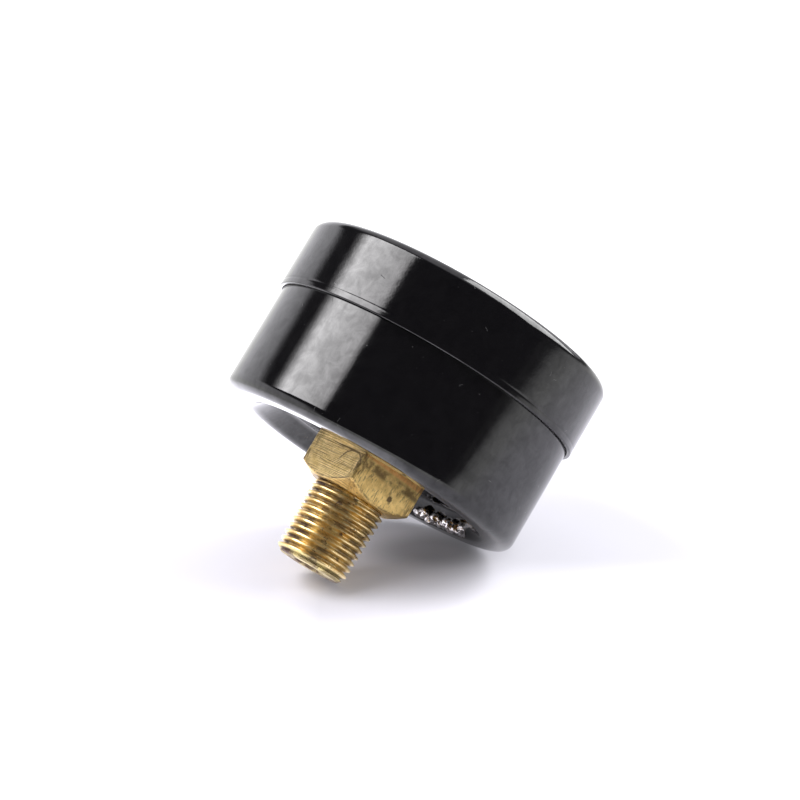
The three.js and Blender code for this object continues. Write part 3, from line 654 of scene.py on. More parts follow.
def window_glass():
    """Clear window: a reflection by angle over a straight view through, with a little dust."""
    look = Look("window_glass")
    place = look.place()
    dust = look.specks(place, 0.9, 0.05, 0.25)
    smear = look.noise(place, 0.3, 4.0, 0.6, 0.5)
    gloss = look.node("BsdfGlossy", {"Roughness": look.times(smear, 0.05)})
    through = look.node("BsdfTransparent", {"Color": (0.975, 0.985, 0.98)})
    facing = look.node("Fresnel", {"IOR": 1.45}).outputs[0]
    both = look.mix_shaders(facing, through, gloss)
    speck = look.node("BsdfDiffuse", {"Color": (0.5, 0.5, 0.5)})
    look.show(look.mix_shaders(dust, both, speck))
    return look.material


# --------------------------------------------------------------------- casing and window


def recess_wall(out, steps):
    """The dished recess from the rim to its floor, `out` outside the sheet's outer face."""
    slope = RECESS_SLOPE * DEG
    drop = RECESS_BEND * (1 - math.cos(slope))
    run = (RECESS_DEPTH - 2 * drop) / math.tan(slope) + 2 * RECESS_BEND * math.sin(slope)
    lip_y, foot_y = CASE_BACK - RECESS_BEND, RECESS_FLOOR + RECESS_BEND
    lip = arc(RECESS_RADIUS, lip_y, RECESS_BEND + out, 90, 90 + RECESS_SLOPE, steps)
    foot = arc(RECESS_RADIUS - run, foot_y, RECESS_BEND - out, RECESS_SLOPE - 90, -90, steps)
    return lip + foot


def build_case(look):
    """The drawn cup with its rolled rear corner, dished recess and stem hole."""
    inner = CASE_RADIUS - CASE_SHEET
    rim = CASE_RADIUS - CASE_CORNER
    stem_hole = SQUARE_CORNER + 0.27
    corner_y = CASE_BACK - CASE_CORNER
    wall = [(CASE_RADIUS, CASE_FRONT + (corner_y - CASE_FRONT) * i / 10) for i in range(10)]
    outside = [
        *wall,
        *arc(rim, corner_y, CASE_CORNER, 0, 90, 14),
        *recess_wall(0, 14),
        (stem_hole, RECESS_FLOOR),
    ]
    inside = [
        (stem_hole, RECESS_FLOOR - CASE_SHEET),
        *reversed(recess_wall(-CASE_SHEET, 6)),
        *arc(rim, corner_y, CASE_CORNER - CASE_SHEET, 90, 0, 6),
        (inner, CASE_FRONT),
    ]
    piece = turned_piece("case_shell", outside + inside, look, sides=256)
    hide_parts("case")


def bezel_wall_radius(y):
    """Radius of the cover's wall, with a faint groove just above its lip."""
    groove_depth, groove_above_lip, groove_width = 0.024, 0.85, 0.13
    away = (LIP - y - groove_above_lip) / groove_width
    return BEZEL_RADIUS - groove_depth * math.exp(-(away**2))


def build_bezel(look):
    """The cover ring: a rolled opening, a rounded front corner, the wall and its lip."""
    outer_corner = BEZEL_RADIUS - BEZEL_CORNER
    corner_y = FRONT + BEZEL_CORNER
    edge = BEZEL_SHEET / 2
    outer_ease, inner_ease = 0.18, 0.08
    wall_end = LIP - outer_ease
    wall = []
    steps = 60
    for i in range(1, steps + 1):
        y = corner_y + (wall_end - corner_y) * (i / steps) ** 0.5
        wall.append((bezel_wall_radius(y), y))
    lip_outer = bezel_wall_radius(wall_end) - outer_ease
    lip_inner = BEZEL_RADIUS - BEZEL_SHEET + inner_ease
    profile = [
        *arc(BEZEL_OPENING + edge, FRONT + edge, edge, 90, 270, 8),
        *arc(outer_corner, corner_y, BEZEL_CORNER, -90, 0, 14),
        *wall,
        *arc(lip_outer, wall_end, outer_ease, 15, 90, 5),
        *arc(lip_inner, LIP - inner_ease, inner_ease, 90, 180, 3),
        *arc(outer_corner, corner_y, BEZEL_CORNER - BEZEL_SHEET, 0, -90, 8),
    ]
    piece = turned_piece("bezel_ring", profile, look, sides=256)
    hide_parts("bezel")


def build_window(look):
    """A round pane with eased edges."""
    profile = eased(rectangle(0, LENS_RADIUS, LENS_FRONT, LENS_BACK), 0.15)
    piece = turned_piece("window", profile, look)
    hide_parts("lens")


def build_gasket(look):
    """The rubber ring between the window and the cover."""
    low, high = span("lens_gasket", Y)
    outer = span("lens_gasket", X)[1]
    covered = 1.4
    profile = eased(rectangle(LENS_RADIUS - covered, outer, low, high), 0.2)
    piece = turned_piece("gasket_ring", profile, look)
    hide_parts("lens_gasket")


# ---------------------------------------------------------------------- dial and pointer


def turned_screw(name, node, look, head_radius, head_height, shank_radius):
    """A cheese-head screw with a slot, as long as its CAD node."""
    front, end = span(node, Y)
    head_back = front + head_height
    point = 0.2
    profile = [
        (0, front),
        (head_radius, front),
        (head_radius, head_back),
        (shank_radius, head_back),
        (shank_radius, end - point),
        (shank_radius - point, end),
        (0, end),
    ]
    x, z = centre_of(node)
    piece = turned_piece(name, eased(profile, 0.08), look, sides=40, spot=(x, z))
    slot_half = 0.13 * head_radius
    slot_depth = 0.4 * (head_back - front)
    slot_low = (x - 2 * head_radius, front - slot_depth, z - slot_half)
    slot_high = (x + 2 * head_radius, front + slot_depth, z + slot_half)
    carve(piece, block_mesh(slot_low, slot_high))
    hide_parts(node)


def block_mesh(low, high):
    """A box as a helper object, for carving a slot."""
    bm = bmesh.new()
    bmesh.ops.create_cube(bm, size=1)
    for vert in bm.verts:
        corner = [(lo + hi) / 2 + c * (hi - lo) for lo, hi, c in zip(low, high, vert.co)]
        vert.co = Vector(corner) * MM
    return in_scene("cutter", mesh_from(bm, "cutter"))


def evaluated_mesh(owner):
    """The mesh an object has once its modifiers or its outline are worked out."""
    bpy.context.view_layer.update()
    graph = bpy.context.evaluated_depsgraph_get()
    return bpy.data.meshes.new_from_object(owner.evaluated_get(graph))


def carve(piece, cutter):
    """Cuts the helper out of the piece and removes the helper."""
    modifier = piece.modifiers.new("cut", "BOOLEAN")
    modifier.object = cutter
    modifier.solver = "EXACT"
    shaped = evaluated_mesh(piece)
    piece.modifiers.remove(modifier)
    shaped.name = piece.name
    piece.data = shaped
    shaped.set_sharp_from_angle(angle=SHARP_ANGLE * DEG)
    bpy.data.objects.remove(cutter)


SCALE_FRONT, SCALE_BACK = DIAL_FRONT - 0.03, DIAL_FRONT - 0.005
SCALE_RADIUS = 17.3
SCALE_DIVISIONS = 50
NUMBER_EVERY = 10


def scale_angle(i, steps):
    """Angle of step i when the scale is cut into equal steps."""
    return POINTER_ZERO - POINTER_SWEEP * i / steps


def build_dial(enamel, print_look):
    """The enamelled plate, and its scale standing a hair above it."""
    hole = 1.6
    profile = eased(rectangle(hole, DIAL_RADIUS, DIAL_FRONT, DIAL_BACK), 0.08)
    piece = turned_piece("dial_plate", profile, enamel)
    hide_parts("dial")
    build_divisions(print_look)
    build_scale_arc(print_look)
    for i in range(0, SCALE_DIVISIONS + 1, NUMBER_EVERY):
        x, z = polar(12.6, scale_angle(i, SCALE_DIVISIONS))
        build_number(str(2 * i // NUMBER_EVERY), x, z, print_look)


def division_size(i):
    """(inner radius, half width) of a division: long when numbered, shorter at the halves."""
    if i % NUMBER_EVERY == 0:
        return 14.9, 0.16
    if i % (NUMBER_EVERY // 2) == 0:
        return 15.4, 0.11
    return 16.0, 0.07


def build_divisions(look):
    """A flat bar for each division of the scale."""
    points, faces = [], []
    for i in range(SCALE_DIVISIONS + 1):
        angle = scale_angle(i, SCALE_DIVISIONS)
        c, s = math.cos(angle), math.sin(angle)
        inner, half = division_size(i)
        faces += capped_strip(2, 4, base=len(points))
        for y in (SCALE_FRONT, SCALE_BACK):
            for along, across in rectangle(inner, SCALE_RADIUS, -half, half):
                points.append((along * c - across * s, y, along * s + across * c))
    make_piece("dial_divisions", points, faces, look)


def build_scale_arc(look):
    """The thin arc that the divisions end on, a little above them."""
    steps, half_width, above = 180, 0.09, 0.004
    inner, outer = SCALE_RADIUS - half_width, SCALE_RADIUS + half_width
    points = []
    for i in range(steps + 1):
        angle = scale_angle(i, steps)
        for radius, y in rectangle(inner, outer, SCALE_FRONT, SCALE_BACK):
            x, z = polar(radius, angle)
            points.append((x, y - above, z))
    make_piece("dial_arc", points, capped_strip(steps + 1, 4), look)


def build_number(text, x, z, look):
    """One number of the scale, upright and centred on its place."""
    curve = bpy.data.curves.new("number", "FONT")
    curve.body = text
    curve.size = 2.7 * MM
    curve.extrude = 0.0125 * MM
    curve.align_x, curve.align_y = "CENTER", "CENTER"
    helper = in_scene("number_" + text, curve)
    mesh = evaluated_mesh(helper)
    bpy.data.objects.remove(helper)
    middle_y = SCALE_FRONT + 0.013
    upright = Matrix.Rotation(math.pi / 2, 4, "X")
    mesh.transform(Matrix.Translation(Vector((x, middle_y, z)) * MM) @ upright)
    mesh.materials.clear()
    mesh.materials.append(look)
    piece = in_scene("dial_number_" + text, mesh)
    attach(piece, "housing")


def build_hub(look):
    """The brass boss that holds the pointer: a flange in front of it, a neck through it."""
    front, back = span("pointer_hub", Y)
    flange, neck, bore = 1.5, 0.95, 0.5
    flange_back = POINTER_FRONT - 0.05
    profile = [
        (bore, front),
        (flange, front),
        (flange, flange_back),
        (neck, flange_back),
        (neck, back),
        (bore, back),
    ]
    profile = eased(profile, 0.12)
    piece = turned_piece("hub", profile, look, "pointer_shaft", sides=64)
    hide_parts("pointer_hub")


def build_stop_pin(look):
    """The pin that the pointer rests against at zero."""
    front, back = span("stop_pin", Y)
    profile = eased(rectangle(0, 0.4, front, back), 0.15)
    spot = centre_of("stop_pin")
    piece = turned_piece("zero_stop", profile, look, sides=32, spot=spot)
    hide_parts("stop_pin")


# ----------------------------------------------------------------------- stem and socket


def square_outline(corner_radius=0.3, per_side=96):
    """(angle, radius) round the wrench square, its corners slightly rounded."""
    out = []
    for facing in SQUARE_FACINGS:
        for i in range(per_side):
            t = -1 + 2 * i / per_side
            offset = math.copysign(abs(t) ** 0.9, t) * 45 * DEG
            radius = SQUARE_FLATS / 2 / math.cos(offset)
            over = max(0.0, radius - (SQUARE_CORNER - corner_radius))
            radius -= 0.6 * over * over / corner_radius
            out.append((facing + offset, radius))
    return out


def square_side(radius, start):
    """(radius, y) points up one column of the wrench square, over its chamfer and inwards."""
    core, rows, bevel, chamfer_rows = 3.6, 28, 0.09, 4
    edge_y = SQUARE_END - max(0.0, radius - CHAMFER_START) * CHAMFER_SLOPE
    side_end = edge_y - bevel
    profile = [(core, start)]
    profile += [(radius, start + (side_end - start) * i / rows) for i in range(rows + 1)]
    profile.append((radius - 0.3 * bevel, edge_y - 0.25 * bevel))
    run = radius - bevel - CHAMFER_START
    for i in range(chamfer_rows):
        inward = bevel + run * i / chamfer_rows
        profile.append((radius - inward, edge_y + inward * CHAMFER_SLOPE))
    end_radii = (CHAMFER_START, CHAMFER_START - 0.15, 5.2, core)
    return profile + [(end_radius, SQUARE_END) for end_radius in end_radii]


def build_square(look):
    """The wrench square with its chamfer, on the round collar in the case's hole."""
    columns = square_outline()
    points = []
    for angle, radius in columns:
        for r, y in square_side(radius, COLLAR_END - 0.05):
            x, z = polar(r, angle)
            points.append((x, y, z))
    faces = strip_faces(len(columns), len(points) // len(columns), closed=True)
    piece = make_piece("wrench_square", points, faces, look, sharp=24)
    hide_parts("socket")


def thread_radius(y, turn_angle):
    """Radius of the right-handed taper thread; it runs out into the chamfered end."""
    crest = THREAD_TIP_RADIUS + (STEM_END - y) * THREAD_TAPER
    phase = (y / THREAD_PITCH - turn_angle / (2 * math.pi)) % 1
    ridge = 1 - abs(2 * phase - 1)
    flat = 0.1
    height = min(1, max(0, (ridge - flat) / (1 - 2 * flat)))
    radius = crest - THREAD_HEIGHT * (1 - height)
    past_square = y - SQUARE_END
    relief = crest - THREAD_HEIGHT * min(1, max(0.15, 1 - past_square / 0.7))
    past_chamfer = max(0, y - (STEM_END - THREAD_CHAMFER)) / THREAD_CHAMFER
    chamfer = crest - 1.05 * THREAD_HEIGHT * past_chamfer
    return min(radius, relief, chamfer)


def build_thread(look):
    """The helical thread, its end face and the bore of the inlet."""
    sides, per_pitch = 144, 18
    start, end = SQUARE_END - 0.6, STEM_END
    bore, seat = INLET_RADIUS, STEM_END - INLET_DEPTH
    countersink = 0.25
    rows = int((end - start) / THREAD_PITCH * per_pitch) + per_pitch + 2
    points = []
    # The last column lies on the first, one pitch further along, and joins it there.
    for i in range(sides + 1):
        share = i / sides
        turn_angle = 2 * math.pi * share
        profile = [(bore, start), (3.9, start)]
        for k in range(rows):
            y = start + (k / per_pitch + share - 1) * THREAD_PITCH
            y = min(max(y, start), end)
            profile.append((thread_radius(y, turn_angle), y))
        profile += [(3.6, end), (3.0, end), (bore + countersink, end), (bore, end - countersink)]
        profile += [(bore, end - 0.9), (bore, seat)]
        for r, y in profile:
            points.append((r * math.sin(turn_angle), y, r * math.cos(turn_angle)))
    faces = strip_faces(sides + 1, len(profile))
    piece = make_piece("stem_thread", points, faces, look, sharp=30)
    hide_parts("socket")


def build_restrictor(look):
    """The drilled screw in the inlet, with a slot for a screwdriver."""
    start, end = span("restrictor_screw", Y)
    outer, fine_hole = INLET_RADIUS - 0.08, 0.3
    slot_depth, slot_half = 0.6, 0.25
    profile = eased(rectangle(fine_hole, outer, start, end), 0.1)
    piece = turned_piece("restrictor", profile, look, sides=64)
    carve(piece, block_mesh((-3, end - slot_depth, -slot_half), (3, end + slot_depth, slot_half)))
    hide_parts("restrictor_screw")


def build_socket_block(look):
    """Collar, shoulder and block in one turned piece."""
    bore, block = 1.2, 6.5
    collar = SQUARE_CORNER + 0.1
    profile = [
        (bore, BLOCK_FRONT + 2.8),
        (bore + 0.01, BLOCK_FRONT),
        (block, BLOCK_FRONT),
        (block, SHOULDER_FRONT),
        (SHOULDER_RADIUS, SHOULDER_FRONT),
        (SHOULDER_RADIUS, SHOULDER_BACK),
        (collar, SHOULDER_BACK),
        (collar, COLLAR_END),
        (bore, COLLAR_END),
    ]
    piece = turned_piece("socket_block", eased(profile, 0.12), look, sides=128)
    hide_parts("socket")


def build_lug(look):
    """A radial block with eased edges that takes the root of the tube."""
    inner, outer = 5.5, TUBE_RADIUS + 3
    low, high = TUBE_FRONT - 0.6, TUBE_BACK + 0.6
    ease = 0.25
    half = LUG_HALF_WIDTH
    section = eased([(low, -half), (high, -half), (high, half), (low, half)], ease, 4)
    stations = [(inner, 1.0), (outer - ease, 1.0), (outer, 1 - ease / half)]
    middle = (low + high) / 2
    c, s = math.cos(TUBE_ROOT), math.sin(TUBE_ROOT)
    points = []
    for along, shrink in stations:
        for y, across in section:
            a = across * shrink
            points.append((along * c - a * s, middle + (y - middle) * shrink, along * s + a * c))
    faces = capped_strip(len(stations), len(section))
    piece = make_piece("root_lug", points, faces, look)
    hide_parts("socket")


def seat_level(reach, wall):
    """Level of the recess's surface at a radius, from the points of its wall."""
    for (outer, high), (inner, low) in zip(wall, wall[1:]):
        if inner <= reach <= outer:
            return low + (high - low) * (reach - inner) / max(outer - inner, 1e-9)
    return wall[-1][1] if reach < wall[-1][0] else wall[0][1]


def solder_lumps():
    """(angle, reach, level, length, width, height) of each lump along the recess wall."""
    middle, level = RECESS_RADIUS - 1.5, CASE_BACK - 0.7
    return (
        (243.0, middle + 0.1, level, 0.9, 0.7, 0.7),
        (239.5, middle - 0.4, level - 0.2, 0.9, 0.8, 0.8),
        (236.5, middle + 0.3, level + 0.1, 0.8, 0.7, 0.8),
        (231.5, middle - 0.2, level - 0.1, 1.3, 0.8, 0.8),
        (228.0, middle + 0.2, level, 1.1, 0.7, 0.8),
        (223.5, middle, level - 0.2, 1.3, 0.7, 0.7),
        (219.0, middle - 0.1, level, 1.1, 1.0, 0.9),
        (215.5, middle + 0.3, level - 0.1, 1.1, 0.9, 0.9),
        (212.0, middle + 0.4, level - 0.3, 1.1, 0.6, 0.6),
    )


def crumpled(way, number):
    """Share of a lump's full size towards `way`, from the folds of its skin."""
    apart = Vector((7.3 * number, 0, 0))
    return 0.72 + 0.24 * noise.ridged_multi_fractal(way * 0.9 + apart, 0.9, 2.1, 3, 1.0, 2.0)


def build_solder(look):
    """Crumpled solder run settled in the recess against its wall."""
    wall = recess_wall(0.03, 12)
    sides, rings = 40, 24
    points, faces = [], []
    for number, (angle, reach, level, length, width, height) in enumerate(solder_lumps()):
        faces += strip_faces(rings + 1, sides, base=len(points))
        for ring in range(rings + 1):
            tilt = math.pi * ring / rings
            for side in range(sides):
                turn = 2 * math.pi * side / sides
                flat = math.sin(tilt)
                way = Vector((flat * math.cos(turn), flat * math.sin(turn), math.cos(tilt)))
                swell = crumpled(way, number)
                out = reach + width * swell * way.x
                x, z = polar(out, angle * DEG + length * swell * way.y / reach)
                y = max(level + height * swell * way.z, seat_level(out, wall) + 0.01)
                points.append((x, y, z))
    piece = make_piece("recess_solder", points, faces, look, sharp=60)
    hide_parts("case_solder")


# ------------------------------------------------------------------- tube and hairspring


def build_tube(look):
    """The flattened tube: its free end follows the tip, its root stays in the lug."""
    stations, section_steps = 160, 28
    level = (TUBE_FRONT + TUBE_BACK) / 2
    half_height = (TUBE_BACK - TUBE_FRONT) / 2
    half_thickness = TUBE_THICKNESS / 2
    points, faces, weights = [], [], []
    for grow in (0.0, -TUBE_WALL):
        for i in range(stations + 1):
            angle = TUBE_ROOT + (TUBE_TIP - TUBE_ROOT) * (i / stations)
            free = min(1.0, max(0.0, (TUBE_FREE - angle) / (TUBE_FREE - TUBE_TIP)))
            for k in range(section_steps):
                turn = 2 * math.pi * k / section_steps
                radius = TUBE_RADIUS + (half_thickness + grow) * math.cos(turn)
                x, z = polar(radius, angle)
                points.append((x, level + (half_height + grow) * math.sin(turn), z))
                weights.append(free * free * (3 - 2 * free))
    layer = len(points) // 2
    for a, b, c, d in strip_faces(stations + 1, section_steps):
        faces.append((a, b, c, d))
        faces.append((layer + a, layer + d, layer + c, layer + b))
    for start in (0, stations * section_steps):
        for k in range(section_steps):
            a, b = start + k, start + (k + 1) % section_steps
            faces.append((a, b, layer + b, layer + a))
    piece = make_piece("bourdon_tube_wall", points, faces, look, body=None)
    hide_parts("bourdon_tube")
    blend_by(piece, "housing", "tip", weights)


def blend_by(piece, first, second, weights):
    """Bends a piece between two bodies with a weight for each of its points."""
    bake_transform(piece, first, second, start=(0, 0, 0), end=(MM, 0, 0))
    attribute = piece.data.attributes["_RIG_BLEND"]
    if len(attribute.data) != len(weights):
        raise ValueError("joined points changed the number of weights of " + piece.name)
    attribute.data.foreach_set("value", np.array(weights, np.float32))


def build_hairspring(look):
    """The flat spiral: its inner end turns with the shaft, its outer end stays."""
    front, back = span("hairspring", Y)
    inner, outer, turns, half = 1.15, 4.0, 3.5, 0.06
    steps = 280
    points, weights = [], []
    for i in range(steps + 1):
        share = i / steps
        angle = POINTER_ZERO + turns * 2 * math.pi * share
        middle = inner + (outer - inner) * share
        for radius, y in rectangle(middle - half, middle + half, front, back):
            x, z = polar(radius, angle)
            points.append((x, y, z))
            weights.append(1 - share)
    faces = capped_strip(steps + 1, 4)
    piece = make_piece("hairspring_coil", points, faces, look, body=None)
    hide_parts("hairspring")
    blend_by(piece, "housing", "pointer_shaft", weights)


# ------------------------------------------------------------------ pieces kept from CAD


def dress(node, look, bevel=0.05):
    """A CAD node that stays: a procedural look and eased edges."""
    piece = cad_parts[node]
    if not piece.material_slots:
        piece.data.materials.append(look)
    for slot in piece.material_slots:
        slot.material = look
    modifier = piece.modifiers.new("eased", "BEVEL")
    modifier.width = bevel * MM
    modifier.segments = 2
    modifier.limit_method = "ANGLE"
    modifier.angle_limit = 40 * DEG


# ---------------------------------------------------------------------- camera and studio

SOFTBOX_LIFT = 16 * DEG
SOFTBOX_WIDTH, SOFTBOX_HEIGHT = 0.55, 0.3
SOFTBOX_RADIANCE = 12.0
RIGHT_RADIANCE = 8.0

# The camera looks at the middle of the cover's lip plane. The stem leans to the lower left.
LENS_MM, SENSOR_MM = 116.35, 36.0
DISTANCE = 330.74
AIM_RIGHT, AIM_UP = 2.98, 3.47
FACING = 97.5 * DEG  # side of the case that faces the camera, from three o'clock
LEAN = 8.51 * DEG  # how far the stem end is turned towards the camera
ROLL = 30.73 * DEG  # between the gauge's axis and the upright of the view
DIAL_WAY = Vector((0, -1, 0))


def camera_frame():
    """Rotation from camera axes to the gauge's axes, and the camera's place in millimetres."""
    level = math.cos(LEAN)
    dial_way = Vector((math.sin(ROLL) * level, math.cos(ROLL) * level, -math.sin(LEAN)))
    side_way = Vector((math.cos(ROLL), -math.sin(ROLL), 0))
    near_way = side_way.cross(dial_way)
    seen = Matrix((dial_way, side_way, near_way)).transposed()
    side_row = Vector((-math.sin(FACING), 0, math.cos(FACING)))
    near_row = Vector((math.cos(FACING), 0, math.sin(FACING)))
    held = Matrix((DIAL_WAY, side_row, near_row)).transposed()
    turn = held @ seen.transposed()
    lip_centre = Vector((AIM_RIGHT, AIM_UP, -DISTANCE))
    return turn, Vector((0, LIP, 0)) - turn @ lip_centre


def halved(low, high, is_below):
    """The place between low and high where is_below stops being true, by halving."""
    for _ in range(60):
        middle = (low + high) / 2
        if is_below(middle):
            low = middle
        else:
            high = middle
    return low, middle


def floor_normal(turn):
    """Up from the floor that the case's rear corner and the stem's end both touch."""
    reached = math.sin(resting_tilt())

    def level(tilt):
        return turn @ Vector((0, math.cos(tilt), math.sin(tilt)))

    _, last = halved(0.0, 60 * DEG, lambda tilt: -level(tilt).y > reached)
    return level(last).normalized()


def support(tilt, radius, y, ball=0.0):
    """How far a ring on the gauge reaches down when the dial is tilted up by `tilt`."""
    return y * math.sin(tilt) + radius * math.cos(tilt) + ball


def lowest_reach(tilt):
    """How far the case's rear corner and the stem's end reach down at a tilt."""
    corner = support(tilt, CASE_RADIUS - CASE_CORNER, CASE_BACK - CASE_CORNER, CASE_CORNER)
    stem = support(tilt, THREAD_TIP_RADIUS - THREAD_CHAMFER * 0.4, STEM_END - THREAD_CHAMFER * 0.6)
    return corner, stem


def resting_tilt():
    """The tilt at which the case's rear corner and the stem's end reach equally low."""

    def corner_is_lower(tilt):
        corner, stem = lowest_reach(tilt)
        return corner > stem

    return halved(20 * DEG, 80 * DEG, corner_is_lower)[0]


def place_camera(turn, spot):
    """The camera, turned and placed against the gauge."""
    data = bpy.data.cameras.new("camera")
    data.lens, data.sensor_width = LENS_MM, SENSOR_MM
    data.clip_start, data.clip_end = 0.01, 20
    camera = in_scene("camera", data)
    camera.matrix_world = Matrix.Translation(spot * MM) @ turn.to_4x4()
    bpy.context.scene.camera = camera


def floor_look():
    """Pale floor: lit by the lamps close to the gauge, with painted light, a painted shadow and a painted
    glow there; a plain white glow further off; a painted falloff dims both towards the right; clear from
    below.
    """
    look = Look("floor")
    place = look.place()
    right, ahead, _ = look.split(place)
    away = look.node("VectorMath", {0: place}, operation="LENGTH").outputs["Value"]
    # Painted falloff: the floor's colour and its white glow fade to 0.12 towards the right.
    painted_light_falloff = look.step(right, 60.0, 300.0, 1.0, 0.12)
    # Painted light: the floor's colour is made brighter to the left of the stem and in front of the gauge.
    painted_light_left = look.step(right, -3.0, -14.0, 1.0, 1.5)
    painted_light_front = look.step(ahead, 1.0, -7.0, 1.0, 1.22)
    # scale carries the painted falloff, the painted light and the painted shadow.
    scale = look.times(painted_light_falloff, look.strongest(painted_light_left, painted_light_front))
    # Painted shadow under the case.
    scale = look.times(scale, shadow_core(look, right, ahead))
    pale = look.mix(look.noise(place, 0.05, 3.0), (0.405, 0.402, 0.437), (0.425, 0.421, 0.452))
    floor_colour_with_painted_light = look.node("VectorMath", {0: pale, "Scale": scale}, operation="SCALE").outputs[0]
    lit_near = look.node("BsdfDiffuse", {"Color": floor_colour_with_painted_light})
    mirrored = look.node("LightPath").outputs["Is Glossy Ray"]
    # Painted reflection: on its left side the floor glows brighter, but only as seen in reflections.
    sheen = look.times(look.times(mirrored, look.step(right, 1.0, -9.0)), 2.2)
    # Painted glow: the near floor gives off light of its own, which also lightens its shadows.
    fill = look.node("Emission", {"Color": floor_colour_with_painted_light, "Strength": look.add(sheen, 0.3)})
    near = look.node("AddShader", {0: lit_near.outputs[0], 1: fill.outputs[0]})
    white = (1.0, 1.0, 1.0)
    far = look.node("Emission", {"Color": white, "Strength": look.times(painted_light_falloff, 1.6)})
    lit = look.mix_shaders(look.step(away, 45.0, 120.0), near, far)
    behind = look.node("NewGeometry").outputs["Backfacing"]
    look.show(look.mix_shaders(behind, lit, look.node("BsdfTransparent")))
    return look.material


def shadow_core(look, right, ahead):
    """A painted shadow: darkens the floor's colour under the case, beside the place where the stem stands on
    it.
    """
    aside = look.times(look.add(right, -6.0), 1 / 11)
    along = look.times(look.add(ahead, -3.5), 1 / 6.5)
    reach = look.math("SQRT", look.add(look.times(aside, aside), look.times(along, along)))
    return look.step(reach, 1.1, 0.3, 1.0, 0.62)


def place_floor(turn, up, foot):
    """A large sheet square to `up`, whose middle is under the gauge."""
    size, steps = 3000.0, 8
    side = turn @ Vector((1, 0, 0))
    ahead = up.cross(side)
    bm = bmesh.new()
    grid = []
    for i in range(steps + 1):
        for k in range(steps + 1):
            u, v = size * (i / steps - 0.5), size * (k / steps - 0.5)
            grid.append(bm.verts.new((u * MM, v * MM, 0)))
    for i in range(steps):
        for k in range(steps):
            a = i * (steps + 1) + k
            bm.faces.new([grid[a], grid[a + steps + 1], grid[a + steps + 2], grid[a + 1]])
    mesh = mesh_from(bm, "floor")
    mesh.materials.append(floor_look())
    floor = in_scene("floor", mesh)
    held = Matrix((side, ahead, up)).transposed().to_4x4()
    floor.matrix_world = Matrix.Translation(foot * MM) @ held


def place_light(name, way, along, distance, width, height, radiance):
    """A soft rectangle of light towards `way`, its height in the plane of `along`."""
    across = along.cross(way).normalized()
    upright = way.cross(across).normalized()
    data = bpy.data.lights.new(name, "AREA")
    data.shape = "RECTANGLE"
    data.size, data.size_y = width, height
    data.energy = radiance * math.pi * width * height
    light = in_scene(name, data)
    held = Matrix((across, upright, way)).transposed().to_4x4()
    light.matrix_world = Matrix.Translation(way * distance) @ held
    light.visible_camera = False
    return light


def place_softbox(turn):
    """The main light, up to the left: the case's wall mirrors it just above its lower edge."""
    level = turn @ Vector((-0.71, 0.64, 0.33))
    level.y = 0
    way = level.normalized() * math.cos(SOFTBOX_LIFT) + DIAL_WAY * math.sin(SOFTBOX_LIFT)
    size = SOFTBOX_WIDTH, SOFTBOX_HEIGHT
    light = place_light("softbox", way, DIAL_WAY, 0.6, *size, SOFTBOX_RADIANCE)
    shade_softbox(light, light.matrix_world.to_3x3().col[0], light.matrix_world.translation)


def shade_softbox(light, across, middle):
    """Fades the softbox in at its far side and lets it fall off towards the camera."""
    light.data.use_nodes = True
    shading = Shading(light.data.node_tree)
    spot = shading.node("NewGeometry").outputs["Position"]
    offset = shading.node("VectorMath", {0: spot, 1: middle}, operation="SUBTRACT").outputs[0]
    half = SOFTBOX_WIDTH / 2
    share = shading.node("MapRange", {0: shading.dot(offset, across), 1: -half, 2: half})
    ramp = shading.node("ValToRGB", {0: share.outputs[0]})
    stops = ((0.0, 0.0), (0.09, 0.12), (0.26, 1.0), (0.9, 0.6), (1.0, 0.1))
    while len(ramp.color_ramp.elements) < len(stops):
        ramp.color_ramp.elements.new(0.5)
    for element, (position, level) in zip(ramp.color_ramp.elements, stops):
        element.position = position
        element.color = (level, 0.985 * level, level, 1)
    glow = shading.tree.nodes["Emission"]
    shading.feed(glow.inputs["Color"], ramp.outputs[0])
    shading.feed(glow.inputs["Strength"], 1.0)


def place_right_light(turn):
    """The second light, low on the dial's side: only the cover's front corner mirrors it."""
    way = (turn @ Vector((0.8, 0.56, 0.12))).normalized()
    place_light("right_light", way, turn @ Vector((0, 1, 0)), 0.7, 0.75, 0.75, RIGHT_RADIANCE)


def light_world(turn, up):
    """White to the camera, a dim room to everything else, and a bright low backdrop behind."""
    world = bpy.data.worlds.new("studio")
    bpy.context.scene.world = world
    world.use_nodes = True
    world.node_tree.nodes.clear()
    sky = Shading(world.node_tree)
    way = sky.node("TexCoord").outputs["Generated"]
    behind_left = turn @ Vector((-0.75, 0, -0.66))
    low_down = sky.step(sky.dot(way, up), math.sin(27 * DEG), math.sin(19 * DEG))
    behind = sky.step(sky.dot(way, behind_left), 0.15, 0.5)
    backdrop = sky.times(sky.times(low_down, behind), 1.55)
    ceiling = sky.times(sky.step(sky.dot(way, DIAL_WAY), 0.5, 0.75), 1.2)
    strength = sky.add(sky.add(backdrop, ceiling), 0.11)
    room = sky.node("Background", {"Color": (0.965, 0.955, 1.0), "Strength": strength})
    white = sky.node("Background", {"Strength": 1.3})
    seen = sky.node("LightPath").outputs["Is Camera Ray"]
    sky.node("OutputWorld", {0: sky.mix_shaders(seen, room, white).outputs[0]})


def build_studio():
    """Camera, floor and lights."""
    turn, spot = camera_frame()
    up = floor_normal(turn)
    place_camera(turn, spot)
    foot = -up * lowest_reach(resting_tilt())[0]
    place_floor(turn, up, foot)
    place_softbox(turn)
    place_right_light(turn)
    light_world(turn, up)
    bpy.context.scene.view_settings.view_transform = "Standard"


# -------------------------------------------------------------------------------- assembly

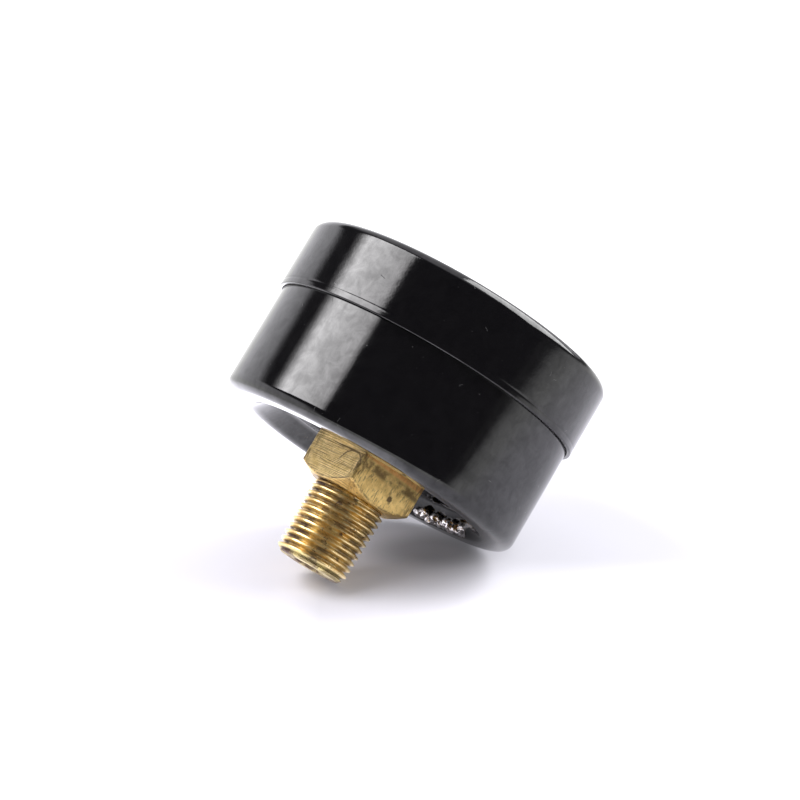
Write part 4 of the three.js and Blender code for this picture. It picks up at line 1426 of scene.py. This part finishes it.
case_paint = gloss_paint("case_paint", peel=0.0018, grain=0.0008, streak=0.003)
bezel_paint = gloss_paint("bezel_paint", peel=0.006, grain=0.004, streak=0.001)
square_look = square_brass()
thread_look = thread_brass()
brass_look = movement_metal("movement_brass", (0.78, 0.58, 0.27), (0.64, 0.45, 0.17), 0.3)
bronze_look = movement_metal("tube_bronze", (0.72, 0.46, 0.24), (0.56, 0.33, 0.15), 0.32)
steel_look = movement_metal("bright_steel", (0.68, 0.68, 0.69), (0.5, 0.5, 0.51), 0.28)
solder_look = bright_solder()
print_look = ink("scale_ink", (0.012, 0.012, 0.013))
pointer_look = ink("pointer_paint", (0.01, 0.01, 0.011))

build_case(case_paint)
build_bezel(bezel_paint)
build_window(window_glass())
build_gasket(rubber())
build_dial(dial_enamel(), print_look)
build_hub(brass_look)
build_stop_pin(steel_look)
build_square(square_look)
build_thread(thread_look)
build_restrictor(brass_look)
build_socket_block(square_look)
build_lug(square_look)
build_solder(solder_look)
build_tube(bronze_look)
build_hairspring(bronze_look)

SMALL_SCREW = {"head_radius": 1.2, "head_height": 0.54975, "shank_radius": 0.6}
LARGE_SCREW = {"head_radius": 1.5, "head_height": 0.75, "shank_radius": 0.75}

for kind, number, size in (
    ("dial_screw_", "left", SMALL_SCREW),
    ("dial_screw_", "right", SMALL_SCREW),
    ("plate_screw_", "1", SMALL_SCREW),
    ("plate_screw_", "2", SMALL_SCREW),
    ("plate_screw_", "3", SMALL_SCREW),
    ("movement_screw_", "1", LARGE_SCREW),
    ("movement_screw_", "2", LARGE_SCREW),
):
    turned_screw(kind + "head_" + number, kind + number, steel_look, **size)
for name in ("dial_post_left", "dial_post_right", "pillar_1", "pillar_2", "pillar_3"):
    dress(name, brass_look)
for name in ("front_plate", "back_plate", "hairspring_stud", "hairspring_collet", "tube_tip", "link"):
    dress(name, brass_look)
dress("sector_gear", brass_look, 0.02)
dress("pinion_arbor", steel_look, 0.02)
for name in ("sector_arbor", "sector_tail_pin", "tip_pin"):
    dress(name, steel_look)
dress("tube_root_solder", solder_look, 0.2)
dress("pointer", pointer_look, 0.08)

build_studio()
